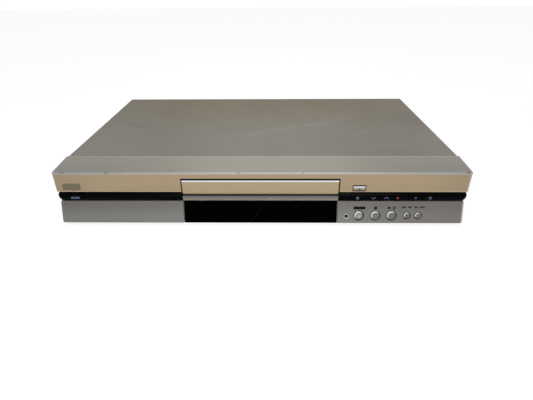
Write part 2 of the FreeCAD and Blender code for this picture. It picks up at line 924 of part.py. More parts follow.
def front_frame():
    """The front moulding: shelf, side walls, front walls with their openings, and board posts."""
    y_back = face_y + shelf_d
    shelf = along_x([
        (face_y, edge_z - edge_band, 0), (face_y, edge_z, edge_r), (y_back, case_h, 0.4),
        (y_back, case_h - shelf_t, 0), (face_y + edge_band, edge_z - shelf_t, 0),
        (wall_y, edge_z - edge_band, 0),
    ], -face_half, face_half)
    face_wall = box(-lower_half, lower_half, wall_y, wall_y + wall_t, bead_z1, edge_z - edge_band)
    bead_wall = box(-lower_half, lower_half, bead_wall_y, bead_wall_y + wall_t, bead_z0, bead_z1)
    door_wall = box(bead_x0 - 4, bead_x1 + 4, wall_y, bead_wall_y + wall_t, bead_z1, door_z1 + door_gap + 3)
    knee_y = leaned_point(plate_t + wall_gap, lower_run).y
    knee = box(-lower_half, lower_half, knee_y, bead_wall_y + wall_t, bead_z0 - wall_t, bead_z0)
    lower_wall = leaned(box(-lower_half, lower_half, plate_t + wall_gap, plate_t + wall_gap + wall_t,
                            plate_foot, lower_run - 0.4))
    bottom_y = leaned_point(plate_t + wall_gap, 2 * wall_t).y
    bottom = box(-lower_half, lower_half, bottom_y, face_y + bottom_back_d, foot_h, foot_h + wall_t)
    tongue_half = inner_half - flange_gap
    top = cover_z - cover_t - flange_gap
    tongue = box(-tongue_half + cover_bend, tongue_half - cover_bend, y_back - 3, y_back + tongue_d,
                 top - 1.4, top)
    posts = [rod(x, bead_wall_y, z, post_r, board_y - bead_wall_y, Y) for x, z in upper_post_places]
    lower_posts = [
        leaned(rod(x, plate_t + wall_gap, run, post_r, lower_board_back - plate_t - wall_gap, Y))
        for x in (lower_board_x0 + post_r, lower_board_x1 - post_r) for run in lower_post_runs
    ]
    body = join(shelf, face_wall, door_wall, bead_wall, knee, lower_wall, bottom, tongue,
                cheek(-1), cheek(1), *posts, *lower_posts)
    door_space = box(bead_x0 + plate_gap - door_gap, bead_x1 - plate_gap + door_gap, face_y - 5,
                     bead_wall_y, bead_z1 - 1, door_z1 + door_gap)
    recess = leaned(box(recess_x0 - 0.3, recess_x1 + 0.3, -2, 8, plate_foot - 2, lower_run - 0.6))
    swing = leaned(rod(-lower_half, flap_axis_in, flap_axis_up, flap_swing_r(),
                       window_x0 - joint_gap + lower_half, X))
    view = leaned(box(view_x0, view_x1, -2, 8, view_run0, view_run1))
    holes = [door_space, recess, swing, view] + tray_way() + stem_wall_holes()
    for x in large_button_x + small_button_x:
        radius = large_button_r if x in large_button_x else small_button_r
        flange_way = radius + button_hole_gap + button_flange + key_gap
        holes.append(leaned(rod(x, 0, button_run, flange_way, lower_board_back - switch_h, Y)))
    holes.append(leaned(rod(indicator_x, 0, button_run, indicator_r + 0.3, lower_board_back - 1, Y)))
    return cut(body, *holes)


def upper_fascia():
    """The champagne plate: an opening for the tray door and one for the open key."""
    y1 = fascia_y + fascia_t
    plate = along_y(rounded(-face_half, face_half, bead_z1, edge_z - edge_band, 0.2), fascia_y, y1)
    door = along_y(rounded(door_x0 - door_side_gap, door_x1 + door_side_gap, bead_z1 - 6,
                           door_z1 + door_gap, 0.8), fascia_y - 1, y1 + 1)
    wide = open_key_w / 2 + key_gap
    high = open_key_h / 2 + key_gap
    key = along_y(rounded(open_key_x - wide, open_key_x + wide, open_key_z - high, open_key_z + high, 0.9),
                  fascia_y - 1, y1 + 1)
    return cut(plate, door, key)


def bead_return(side):
    """The rounded corner of the bead and its short run back along the side."""
    reference = case_w / 2 - bead_bulge
    centre_x = reference - bead_corner
    section = bead_section(face_y, bead_z0, bead_z1)(centre_x)
    corner = section.revolve(Vector(centre_x, face_y + bead_corner, 0), Z, 90)
    run = turned(section, Vector(centre_x, face_y + bead_corner, 0), Z, 90)
    run = run.extrude(Vector(0, bead_side - bead_corner, 0))
    made = join(corner, run)
    if side > 0:
        return made
    return made.mirror(Vector(0, 0, 0), X)


def band(side, keys):
    """One end of the black bead, with openings for its keys (a list of X ranges)."""
    inner = bead_x1 if side > 0 else -bead_x0
    outer = case_w / 2 - bead_bulge - bead_corner
    back = face_y + bead_back
    x0 = side * inner
    x1 = side * outer
    bar = bead_bar(min(x0, x1), max(x0, x1), back, bead_z0, bead_z1)
    body = join(bar, bead_return(side))
    low = bead_z0 + band_key_rim - key_gap
    high = bead_z1 - band_key_rim + key_gap
    holes = [box(a - key_gap, b + key_gap, face_y - 9, back + 1, low, high) for a, b in keys]
    return cut(body, *holes)


def left_band():
    """The left end of the bead, with the opening of the power key."""
    return band(-1, [(power_key_x - power_key_w / 2, power_key_x + power_key_w / 2)])


def right_band():
    """The right end of the bead, with one opening for its row of six keys."""
    return band(1, [(band_key_x0, band_key_x1 - band_key_split)])


def tray_door():
    """The champagne door plate on the front of the tray, a little proud of the fascia."""
    y0 = fascia_y - door_proud
    return along_y(rounded(door_x0, door_x1, door_z0, door_z1, 0.5), y0, y0 + door_t)


def tray_lip():
    """The silver lip under the door, which carries the bead's line on, and the web behind the door."""
    y0 = fascia_y - door_proud + door_t
    low = bead_z0
    high = door_z0 - groove_h
    bead = bead_bar(door_x0, door_x1, y0 + holder_t, low, high)
    web = box(door_x0, door_x1, y0, y0 + holder_t, high - 0.5, door_z1 - 0.6)
    return join(bead, web)


def display_window():
    """The black acrylic window below the tray door."""
    plate = along_x(rounded(0, plate_t, plate_foot, lower_run - plate_gap, 0.3), window_x0, window_x1)
    return leaned(plate)


def lower_plate(x0, x1, thick, foot_x0, foot_x1):
    """An upright plate for the lower front; foot_x0 and foot_x1 are the radii of its two lower corners."""
    corners = [(x0, plate_foot, foot_x0), (x1, plate_foot, foot_x1),
               (x1, lower_run - plate_gap, 0.3), (x0, lower_run - plate_gap, 0.3)]
    return along_y(corners, 0, thick)


def control_panel():
    """The panel of the round buttons, with a hole for each and one for the indicator."""
    plate = lower_plate(window_x1 + joint_gap, lower_half, plate_t, 0.3, 2.0)
    holes = []
    for x in large_button_x + small_button_x:
        radius = large_button_r if x in large_button_x else small_button_r
        hole = rod(x, -1, button_run, radius + button_hole_gap, plate_t + 2, Y)
        rim = Part.makeCone(radius + button_hole_gap + 0.5, radius + button_hole_gap, 0.5,
                            Vector(x, 0, button_run), Y)
        holes += [hole, rim]
    holes.append(rod(indicator_x, -1, button_run, indicator_r, plate_t + 2, Y))
    return leaned(cut(plate, *holes))


def flap_ears():
    """The two places of the flap's hinge ears, as ranges on X."""
    left = -lower_half + flap_ear_x
    right = window_x0 - joint_gap - flap_ear_x
    return [(left, left + flap_ear_w, -1), (right - flap_ear_w, right, 1)]


def jack_flap():
    """The flap over the front sockets, with its two barrels and their pins at the lower edge."""
    plate = lower_plate(-lower_half, window_x0 - joint_gap, flap_t, 2.0, 0.3)
    pieces = [plate]
    for x0, x1, way in flap_ears():
        pieces.append(rod(x0, flap_axis_in, flap_axis_up, flap_barrel_r, x1 - x0, X))
        start = x0 if way < 0 else x1
        pin_len = flap_lug_w + flap_run_gap * 4
        pieces.append(rod(start, flap_axis_in, flap_axis_up, flap_pin_r, pin_len, X * way))
        finger = box(x0, x1, flap_t - 0.2, flap_t + 1.6, lower_run - 5.0, lower_run - 3.8)
        pieces.append(finger)
    body = join(*pieces)
    room = flap_lug_w + flap_run_gap * 8
    high = flap_axis_up + flap_barrel_r + key_gap
    notches = []
    for x0, x1, way in flap_ears():
        start = x0 - room if way < 0 else x1
        notches.append(box(start, start + room, flap_skin, 9, -2, high))
    pins = [
        rod(x0 if way < 0 else x1, flap_axis_in, flap_axis_up, flap_pin_r, flap_lug_w + flap_run_gap * 4,
            X * way)
        for x0, x1, way in flap_ears()
    ]
    return leaned(join(cut(body, *notches), *pins))


def flap_swing_r():
    """The room round the flap's hinge line that its lower edge sweeps."""
    return math.hypot(flap_axis_in, flap_axis_up - plate_foot) + key_gap


def jack_panel():
    """The recess behind the flap: an open box with a leaning mouth, and the lugs of the flap's hinge."""
    back = face_y + recess_back
    low = foot_h + wall_t + 0.3
    high = bead_z0 - wall_t - 0.5
    outer = box(recess_x0, recess_x1, face_y - 20, back, low, high)
    inner = box(recess_x0 + recess_wall, recess_x1 - recess_wall, face_y - 21, back - recess_wall,
                low + recess_wall, high - recess_wall)
    shell = cut(outer, inner)
    front = leaned(box(-lower_half - 10, 0, -60, flap_t + 0.5, -40, 80))
    swing = leaned(rod(-lower_half, flap_axis_in, flap_axis_up, flap_swing_r(), lower_half, X))
    shell = cut(shell, front, swing)
    lugs = []
    for x0, x1, way in flap_ears():
        gap = flap_run_gap * 4
        start = x0 - gap - flap_lug_w if way < 0 else x1 + gap
        ring = rod(start, flap_axis_in, flap_axis_up, flap_lug_r, flap_lug_w, X)
        arm = box(start, start + flap_lug_w, flap_axis_in, 7.5, flap_axis_up - 0.8, flap_axis_up + 1.5)
        rise = box(start, start + flap_lug_w, 5.5, 7.5, flap_axis_up - 0.8, flap_axis_up + 5.0)
        lug = join(ring, arm, rise)
        bore = rod(start - 1, flap_axis_in, flap_axis_up, flap_pin_r + flap_run_gap, flap_lug_w + 2, X)
        lugs.append(leaned(cut(lug, bore)))
    body = join(shell, *lugs)
    holes = []
    for x in front_jack_x:
        holes.append(rod(x, back - 3, recess_mid_z(), collar_r + socket_hole_gap, 5, Y))
    holes.append(rod(front_video_x, back - 3, recess_mid_z(), video_jack_r + socket_hole_gap, 5, Y))
    holes.append(box(front_data_x - data_w / 2 - key_gap, front_data_x + data_w / 2 + key_gap, back - 3,
                     back + 2,
                     recess_mid_z() - data_h / 2 - key_gap, recess_mid_z() + data_h / 2 + key_gap))
    return cut(body, *holes)


def recess_mid_z():
    """The height of the front sockets."""
    return (foot_h + bead_z0) / 2


def sound_socket(x, y, z, way, proud, sheet):
    """A round sleeve with a collar and a bore, out through a sheet: way is -1 to the front, 1 to the rear."""
    axis = Y * way
    collar = rod(x, y, z, collar_r, sheet + 0.5 + collar_proud, axis)
    sleeve = join(rod(x, y, z, sleeve_r, proud + sheet + 0.5, axis), collar)
    bore = rod(x, y + way * (sheet + 1), z, sleeve_bore_r, proud + 2, axis)
    groove = tube(x, y + way * (proud + sheet - 1.5), z, sleeve_r - 0.9, sleeve_bore_r + 0.8, 5, axis)
    return sleeve, [bore, groove]


def video_socket(x, y, z, way, proud, sheet):
    """A small round picture socket with its ring groove."""
    axis = Y * way
    body = rod(x, y, z, video_jack_r, proud + sheet + 0.5, axis)
    mouth = y + way * (proud + sheet + 0.5)
    groove = tube(x, mouth - way * groove_deep, z, video_jack_r - groove_out, video_jack_r - groove_in, 9,
                  axis)
    return body, [groove]


def front_jacks():
    """The sockets behind the flap: three round ones, one picture socket and one data socket."""
    back = face_y + recess_back
    z = recess_mid_z()
    y = back + 0.2
    low = z - front_block_h / 2
    block = box(front_video_x - 8, front_jack_x[-1] + 7, y, y + front_block_d, low, low + front_block_h)
    pieces = [block]
    holes = []
    for x in front_jack_x:
        sleeve, made = sound_socket(x, y + 0.5, z, -1, front_jack_proud, recess_wall + 0.2)
        pieces.append(sleeve)
        holes += made
    body, made = video_socket(front_video_x, y + 0.5, z, -1, 0.6, recess_wall + 0.2)
    pieces.append(body)
    holes += made
    sockets = cut(join(*pieces), *holes)
    shell = box(front_data_x - data_w / 2, front_data_x + data_w / 2, y - recess_wall - 0.6,
                y + front_block_d,
                z - data_h / 2, z + data_h / 2)
    ears = box(front_data_x - data_w / 2 - 2, front_data_x + data_w / 2 + 2, y, y + 1, z - 5, z + 5)
    mouth = box(front_data_x - data_mouth_w / 2, front_data_x + data_mouth_w / 2, y - 9, y + 5,
                z - data_mouth_h / 2, z + data_mouth_h / 2)
    tongue = box(front_data_x - data_mouth_w / 2 + 1, front_data_x + data_mouth_w / 2 - 1, y - 0.5, y + 6,
                 z - 0.5, z + 0.5)
    return [sockets, join(cut(join(shell, ears), mouth), tongue)]


def stem_end_y():
    """Where an upright key's stem ends: short of its switch by the travel and a little more."""
    return board_y - switch_h - plunger_h - key_travel - key_rest_gap


def key_stem(x, z, y0):
    """The stem of an upright key, with the collar that keeps it in."""
    stem = box(x - stem_w / 2, x + stem_w / 2, y0, stem_end_y(), z - stem_h / 2, z + stem_h / 2)
    y1 = bead_wall_y + wall_t + hole_gap
    collar = box(x - collar_w / 2, x + collar_w / 2, y1, y1 + collar_t, z - collar_h / 2, z + collar_h / 2)
    return [stem, collar]


def band_key(x0, x1):
    """One key of the bead: its cap has the bead's own curve."""
    back = bead_wall_y - key_travel - hole_gap
    cap = bead_bar(x0, x1, back, bead_z0 + band_key_rim, bead_z1 - band_key_rim, key_proud)
    middle = (x0 + x1) / 2
    return join(cap, *key_stem(middle, bead_mid_z(), back - 0.5))


def open_close_button():
    """The key over the bead that opens and shuts the tray."""
    wide = open_key_w / 2
    high = open_key_h / 2
    y0 = fascia_y - open_key_proud
    back = wall_y - hole_gap - key_travel
    cap = along_y(rounded(open_key_x - wide, open_key_x + wide, open_key_z - high, open_key_z + high, 0.7),
                  y0, back)
    edges = [edge for edge in cap.Edges if edge.BoundBox.YMax < y0 + 0.01]
    cap = cap.makeFillet(0.4, edges)
    return join(cap, *key_stem(open_key_x, open_key_z, back - 0.5))


def round_button(x, radius, dimple):
    """A round button of the leaning panel: domed cap, flange behind the panel, and stem."""
    front = -button_proud
    cap = rod(x, front, button_run, radius, button_proud + plate_t + 0.2, Y)
    cap = cap.makeFillet(0.6, [edge for edge in cap.Edges if edge.BoundBox.YMax < front + 0.01])
    flange = rod(x, plate_t + 0.1, button_run, radius + button_hole_gap + button_flange, 0.8, Y)
    end = lower_board_back - switch_h - plunger_h - key_travel - key_rest_gap
    stem = rod(x, plate_t, button_run, 2.0, end - plate_t, Y)
    body = join(cap, flange, stem)
    if dimple:
        body = body.cut(Part.makeSphere(dimple * 2.2, Vector(x, front - dimple * 1.96, button_run)))
    return leaned(body)


def switch(x, y, z):
    """A small push switch: its body stands on the board at y, its plunger faces the front."""
    body = box(x - switch_w / 2, x + switch_w / 2, y - switch_h, y, z - switch_w / 2, z + switch_w / 2)
    return join(body, rod(x, y - switch_h - plunger_h, z, plunger_r, plunger_h + 0.5, Y))


def key_switches():
    """A push switch behind every key."""
    z = bead_mid_z()
    upright = [(x, z) for x in band_key_centres()] + [(power_key_x, z), (open_key_x, open_key_z)]
    made = [switch(x, board_y, high) for x, high in upright]
    made += [leaned(switch(x, lower_board_back, button_run)) for x in large_button_x + small_button_x]
    return made


def upper_key_board():
    """The long circuit board behind the front, cut away over the sockets and under the tray."""
    half = window_x1 - 4
    corners = [
        (board_left_x, board_left_low, 0), (-half, board_left_low, 0), (-half, board_low_z, 0),
        (board_right_x, board_low_z, 1), (board_right_x, board_right_high, 1), (window_x1 + 2,
                                                                                board_right_high, 1),
        (window_x1 + 2, board_mid_z, 0), (-half, board_mid_z, 0), (-half, board_left_high, 1),
        (board_left_x, board_left_high, 1),
    ]
    return along_y(corners, board_y, board_y + board_t)


def lower_key_board():
    """The small leaning board behind the round buttons."""
    return leaned(box(lower_board_x0, lower_board_x1, lower_board_back, lower_board_back + board_t,
                      button_run - 3.2, lower_run - 3.6))


def display_tube():
    """The glass display tube behind the window, with its getter nipple."""
    y0 = board_y - tube_d
    glass = along_x(rounded(y0, board_y, tube_foot, tube_foot + tube_view_h, 0.8), view_x0 + 6, view_x1 - 6)
    nipple = rod(view_x1 - 6.5, board_y - tube_d / 2, tube_foot + tube_view_h / 2, 1.6, 4, X)
    return join(glass, nipple)


def indicator_lens():
    """The small clear lens beside the round buttons."""
    lens = rod(indicator_x, 0.3, button_run, indicator_r - 0.1, lower_board_back - 0.3, Y)
    lens = lens.makeFillet(0.5, [edge for edge in lens.Edges if edge.BoundBox.YMax < 0.31])
    return leaned(lens)


def involute(radius, base):
    """The involute angle at a radius."""
    if radius <= base:
        return 0.0
    angle = math.acos(base / radius)
    return math.tan(angle) - angle


def gear_face(x, y, z, module, teeth, tooth_at):
    """The outline of a spur gear, one tooth centred on the direction tooth_at (radians)."""
    pitch = module * teeth / 2
    base = pitch * math.cos(math.radians(pressure_deg))
    tip = pitch + module * tooth_addendum
    root = pitch - module * tooth_dedendum
    half_at_pitch = (math.pi * module / 2 - tooth_play / 2) / (2 * pitch)
    start = max(root, base)
    levels = [start + (tip - start) * n / 4 for n in range(5)]

    def half(radius):
        return half_at_pitch + involute(pitch, base) - involute(radius, base)

    def point(radius, angle):
        return Vector(x + radius * math.cos(angle), y + radius * math.sin(angle), z)

    corners = []
    for n in range(teeth):
        middle = tooth_at + 2 * math.pi * n / teeth
        corners.append(point(root, middle - half(start)))
        corners += [point(radius, middle - half(radius)) for radius in levels if radius > root]
        corners += [point(radius, middle + half(radius)) for radius in reversed(levels) if radius > root]
        corners.append(point(root, middle + half(start)))
    corners.append(corners[0])
    return Part.Face(Part.makePolygon(corners))


def gear(x, y, z, module, teeth, tooth_at, thick):
    """A spur gear with an upright axis."""
    return gear_face(x, y, z, module, teeth, tooth_at).extrude(Vector(0, 0, thick))


def rack(y0, y1):
    """The rack under the tray's left rail: its teeth face the pinion, a gap centred on the pinion's place."""
    pitch = math.pi * rack_module
    line = pinion_x - pinion_r
    slope = math.tan(math.radians(pressure_deg))
    tip = line + rack_module * tooth_addendum
    root = line - rack_module * tooth_dedendum
    half = pitch / 4 - tooth_play / 4
    half_tip = half - (tip - line) * slope
    half_root = half + (line - root) * slope
    back = root - rack_spine
    corners = [Vector(back, y0, rack_z), Vector(root, y0, rack_z)]
    first = math.ceil((y0 + half_root - pinion_y) / pitch - 0.5)
    last = math.floor((y1 - half_root - pinion_y) / pitch - 0.5)
    for n in range(first, last + 1):
        middle = pinion_y + (n + 0.5) * pitch
        corners += [Vector(root, middle - half_root, rack_z), Vector(tip, middle - half_tip, rack_z),
                    Vector(tip, middle + half_tip, rack_z), Vector(root, middle + half_root, rack_z)]
    corners += [Vector(root, y1, rack_z), Vector(back, y1, rack_z), corners[0]]
    return Part.Face(Part.makePolygon(corners)).extrude(Vector(0, 0, rack_h + 0.6))


def disc_tray():
    """The tray: top plate with the wells of both disc sizes, rails, side flanges, window and rack."""
    x0 = door_mid - tray_half
    x1 = door_mid + tray_half
    y_rail = tray_y0 + 8
    top = box(x0, x1, tray_y0 + tray_wall, tray_y1, tray_top - tray_wall, tray_top)
    front = box(x0 + 4, x1 - 4, tray_y0, tray_y0 + tray_wall, tray_bottom, tray_top)
    back = box(x0 + 4, door_mid - window_half - 6, tray_y1 - tray_wall, tray_y1, tray_bottom + 2, tray_top)
    back_right = box(door_mid + window_half + 6, x1 - 4, tray_y1 - tray_wall, tray_y1, tray_bottom + 2,
                     tray_top)
    floor_top = tray_top - well_depth
    well_r = disc_r + well_gap
    floor = rod(door_mid, disc_y, floor_top - well_floor, well_r + well_rib_r,
                tray_top - floor_top + well_floor)
    pieces = [top, front, back, back_right, floor]
    for side in (-1, 1):
        edge = door_mid + side * tray_half
        rail_in = edge - side * tray_wall
        flange_out = edge + side * flange_w
        pieces.append(box(min(edge, rail_in), max(edge, rail_in), tray_y0 + tray_wall, tray_y1,
                          tray_bottom, tray_top))
        pieces.append(box(min(edge, flange_out) - (0 if side < 0 else 0.5),
                          max(edge, flange_out) + (0.5 if side < 0 else 0),
                          y_rail, tray_y1, tray_bottom + 0.4, tray_bottom + 0.4 + flange_t))
    pieces.append(rack(pinion_y - 4, tray_y1))
    body = join(*pieces)
    wells = [
        rod(door_mid, disc_y, floor_top, well_r, 9),
        rod(door_mid, disc_y, floor_top - small_well_depth, small_well_r, 9),
        along_z(rounded(door_mid - window_half, door_mid + window_half, disc_y - window_front,
                        disc_y + window_back, 6), tray_bottom - 1, tray_top + 1),
    ]
    for degrees in (50, 130):
        angle = math.radians(degrees)
        wells.append(rod(door_mid - well_r * math.cos(angle), disc_y - well_r * math.sin(angle), floor_top,
                         grip_r, 9))
    return cut(body, *wells)


def tray_drive_gear():
    """The large wheel and the pinion that drives the tray's rack, on one hub."""
    wheel = gear(pinion_x, pinion_y, wheel_z, wheel_module, wheel_teeth, pulley_angle, wheel_h)
    pinion = gear(pinion_x, pinion_y, pinion_z - 0.1, rack_module, pinion_teeth, math.pi,
                  tray_bottom - pinion_z - 0.3)
    hub = rod(pinion_x, pinion_y, deck_z + gear_gap, gear_shaft_r + 1.8, wheel_z - deck_z)
    bore = rod(pinion_x, pinion_y, deck_z - 1, gear_shaft_r + run_gap, 20)
    return cut(join(wheel, pinion, hub), bore)


def grooved_pulley(x, y, z, radius, thick, belt_line):
    """A pulley whose round groove takes the belt with a small gap."""
    body = rod(x, y, z, radius + belt_r, thick)
    ring = Part.makeTorus(radius + belt_r + belt_gap, belt_r + belt_gap, Vector(x, y, belt_line), Z)
    return body.cut(ring)


def pulley_gear():
    """The belt pulley and the small gear that turns the large wheel."""
    line = pulley_z + pulley_h / 2
    pulley = grooved_pulley(pulley_x, pulley_y, pulley_z, pulley_r, pulley_h, line)
    tooth_at = pulley_angle + math.pi + math.pi / pulley_teeth
    small = gear(pulley_x, pulley_y, pulley_z + pulley_h - 0.1, wheel_module, pulley_teeth, tooth_at,
                 wheel_h + gear_gap + 0.6)
    bore = rod(pulley_x, pulley_y, deck_z - 1, gear_shaft_r + run_gap, 20)
    return cut(join(pulley, small), bore)


def motor_pulley():
    """The small pulley on the loading motor's shaft."""
    line = pulley_z + pulley_h / 2
    body = grooved_pulley(motor_x, pulley_y, pulley_z, motor_pulley_r, pulley_h, line)
    return body.cut(rod(motor_x, pulley_y, deck_z - 1, motor_shaft_r - 0.02, 9))


def loading_belt():
    """The round rubber belt round both pulleys."""
    line = pulley_z + pulley_h / 2
    big = pulley_r + belt_r + belt_gap
    small = motor_pulley_r + belt_r + belt_gap
    span = motor_x - pulley_x
    tilt = math.asin((big - small) / span)
    pieces = []
    for side in (1, -1):
        nx = math.sin(tilt)
        ny = side * math.cos(tilt)
        start = Vector(pulley_x + big * nx, pulley_y + big * ny, line)
        end = Vector(motor_x + small * nx, pulley_y + small * ny, line)
        way = end - start
        pieces.append(Part.makeCylinder(belt_r, way.Length, start, way))
    for x, radius, middle in ((pulley_x, big, math.pi), (motor_x, small, 0.0)):
        half = math.pi / 2 + tilt if middle > 1 else math.pi / 2 - tilt
        start = Vector(x + radius * math.cos(middle - half), pulley_y + radius * math.sin(middle - half),
                       line)
        way = Vector(math.sin(middle - half), -math.cos(middle - half), 0)
        disc = Part.Face(Part.Wire(Part.makeCircle(belt_r, start, way)))
        pieces.append(disc.revolve(Vector(x, pulley_y, line), Z, math.degrees(2 * half)))
    return join(*pieces)


def loading_motor():
    """The loading motor under the deck, its shaft up through the deck."""
    z0 = deck_z - deck_t - drive_motor_h
    can = rod(motor_x, pulley_y, z0, drive_motor_r, drive_motor_h)
    flats = [box(motor_x - 20, motor_x + 20, pulley_y + side * 11.5 - 4, pulley_y + side * 11.5 + 4,
                 z0 - 1, deck_z)
             for side in (-1, 1)]
    shaft = rod(motor_x, pulley_y, z0 + 1, motor_shaft_r - 0.02, pulley_z + pulley_h - z0 - 1)
    neck = rod(motor_x, pulley_y, z0 + drive_motor_h - 0.5, 2.8, 1.9)
    return join(cut(can, *flats), shaft, neck)


def drive_frame():
    """The moulded frame of the disc drive: floor, side walls with the tray's rails, deck and bearings."""
    y0 = face_y + drive_front
    y1 = face_y + drive_back
    outer = side_half + drive_wall
    floor = box(door_mid - outer, door_mid + outer, y0, y1, floor_z, floor_z + drive_floor_t)
    hole = box(door_mid - base_half - 4, door_mid + base_half + 4, face_y + base_front + 6, hinge_y - 8,
               floor_z - 1, floor_z + drive_floor_t + 1)
    pieces = [cut(floor, hole)]
    flange_z = tray_bottom + 0.4
    for side in (-1, 1):
        inner = door_mid + side * side_half
        wall = door_mid + side * outer
        pieces.append(box(min(inner, wall), max(inner, wall), y0, y1, floor_z, drive_top))
        ledge_in = door_mid + side * (tray_half + 1)
        far = inner + side * 0.5
        pieces.append(box(min(ledge_in, far), max(ledge_in, far), y0, y1 - 3, flange_z - rail_gap - ledge_t,
                          flange_z - rail_gap))
        for back in (26, 60, 95, 130, 165):
            y = face_y + back
            pieces.append(box(min(ledge_in, far), max(ledge_in, far), y, y + 8,
                              flange_z + flange_t + rail_gap,
                              flange_z + flange_t + rail_gap + 2))
    pieces.append(box(door_mid - outer, door_mid + outer, y1 - drive_wall, y1, floor_z, drive_top))
    deck_x1 = motor_x + 13
    deck_y1 = face_y + base_front - 3
    pieces.append(box(door_mid - side_half - 0.5, deck_x1, y0, deck_y1, deck_z - deck_t, deck_z))
    pieces.append(box(deck_x1 - 2, deck_x1, y0, deck_y1, floor_z, deck_z))
    for x, y, top in ((pinion_x, pinion_y, tray_bottom - 0.8),
                      (pulley_x, pulley_y, wheel_z + wheel_h + 0.4)):
        pieces.append(rod(x, y, deck_z - 1, gear_shaft_r, top - deck_z + 1))
    post_x = base_half + hinge_pin_len - hinge_post_w + 0.5
    for side in (-1, 1):
        a = door_mid + side * post_x
        b = door_mid + side * (post_x + hinge_post_w)
        pieces.append(box(min(a, b), max(a, b), hinge_y - 4, hinge_y + 4, floor_z, hinge_z + 4))
    rest_top = rest_height() - 0.1
    pieces.append(box(door_mid - rest_half, door_mid + rest_half, face_y + base_front,
                      face_y + base_front + rest_d,
                      floor_z, rest_top))
    rest_bar = box(door_mid - outer, door_mid + outer, face_y + base_front,
                   face_y + base_front + rest_d + 3,
                   floor_z, floor_z + drive_floor_t)
    pieces.append(rest_bar)
    body = join(*pieces)
    holes = [rod(door_mid - 60, hinge_y, hinge_z, hinge_pin_r + run_gap, 120, X)]
    holes.append(rod(motor_x, pulley_y, deck_z - deck_t - 1, 3.0, 4))
    return cut(body, *holes)


def rest_height():
    """The height of the underside of the lowered traverse at its front edge."""
    corner = Part.Vertex(0, face_y + base_front + rest_d, base_z)
    return lowered(corner).Point.z - 0.3


def clamp_bridge():
    """The steel bridge over the tray that carries the disc clamper."""
    half = side_half + drive_wall
    y0 = disc_y - bridge_w / 2
    plate = box(door_mid - half, door_mid + half, y0, y0 + bridge_w, drive_top, drive_top + bridge_t)
    ribs = [box(door_mid - half + 6, door_mid + half - 6, y, y + 1.2, drive_top, drive_top + bridge_t + 2.2)
            for y in (y0, y0 + bridge_w - 1.2)]
    hole = rod(door_mid, disc_y, drive_top - 1, clamper_r + clamper_gap, bridge_t + 4)
    return cut(join(plate, *ribs), hole)


def clamper():
    """The disc clamper that hangs in the bridge by its flange, with a recess for the spindle's cone."""
    top = drive_top + bridge_t + 0.1
    hub = rod(door_mid, disc_y, clamper_low, clamper_r, top + clamper_flange_t - clamper_low)
    flange = rod(door_mid, disc_y, top, clamper_flange_r, clamper_flange_t)
    recess = rod(door_mid, disc_y, clamper_low - 1, clamper_recess_r, clamper_recess + 1)
    cap = rod(door_mid, disc_y, top + clamper_flange_t - 0.2, 8.5, 1.0)
    return cut(join(hub, flange, cap), recess)



def traverse_base():
    """The lifting base: plate with the sled's window, side skirts, rod seats and hinge pins."""
    y0 = face_y + base_front
    y1 = hinge_y + 3.5
    x0 = door_mid - base_half
    x1 = door_mid + base_half
    plate = along_z([(x0, y0, 5), (x1, y0, 5), (x1, y1, 1), (x0, y1, 1)], base_z, base_z + base_t)
    pieces = [plate]
    for side in (-1, 1):
        edge = door_mid + side * base_half
        inner = edge - side * 1.8
        pieces.append(box(min(edge, inner), max(edge, inner), y0 + 8, y1, base_z - skirt_h, base_z + 0.5))
        pin_from = door_mid + side * (base_half - 1.8)
        pieces.append(rod(pin_from, hinge_y, hinge_z, hinge_pin_r, hinge_pin_len + 1.8, X * side))
        pieces.append(box(min(edge, inner), max(edge, inner), hinge_y - 3.5, y1, hinge_z - 3.0, base_z))
        for back in (base_window_d0 - rod_seat_w + 1.5, base_window_d1 - 1.5):
            y = face_y + back
            x = door_mid + side * rod_x
            pieces.append(box(x - 2.6, x + 2.6, y, y + rod_seat_w, base_z, rod_z + rod_r * 0.4))
    body = join(*pieces)
    window = box(door_mid + base_window_x0, door_mid + base_window_x1, face_y + base_window_d0,
                 face_y + base_window_d1, base_z - 9, base_z + 9)
    seats = [rod(door_mid + side * rod_x, face_y + base_window_d0 - rod_seat_w, rod_z, rod_r + rod_clear,
                 90, Y)
             for side in (-1, 1)]
    hub = rod(door_mid, disc_y, base_z - 1, 6.0, base_t + 2)
    screw_way = box(door_mid + screw_x - feed_motor_r - 0.6, door_mid + screw_x + feed_motor_r + 0.6,
                    face_y + screw_seat_d - feed_motor_len - 4, face_y + base_window_d1, base_z - 1,
                    base_z + base_t + 1)
    seat = box(door_mid + screw_x - feed_motor_r - 1.5, door_mid + screw_x + feed_motor_r + 1.5,
               face_y + screw_seat_d, face_y + screw_seat_d + 2, screw_z - 3.4, base_z + base_t)
    end_seat = box(door_mid + screw_x - 3, door_mid + screw_x + 3, face_y + base_window_d1 - 0.5,
                   face_y + base_window_d1 + 1.5, screw_z - 3.4, base_z + 0.5)
    screw_hole = rod(door_mid + screw_x, face_y + screw_seat_d - 7, screw_z, screw_r + 0.1, 90, Y)
    body = join(cut(body, window, hub, screw_way, *seats), seat, end_seat)
    return lowered(cut(body, screw_hole))


def spindle_motor():
    """The flat disc motor under the base, with its upright shaft."""
    plate = rod(door_mid, disc_y, base_z - 1.2, spindle_motor_r, 1.2)
    stator = rod(door_mid, disc_y, base_z - 4.4, 11.0, 3.3)
    neck = rod(door_mid, disc_y, base_z - 1, 5.8, base_t + 1.6)
    shaft = rod(door_mid, disc_y, base_z, spindle_r, disc_seat_z - base_z)
    return lowered(join(plate, stator, neck, shaft))


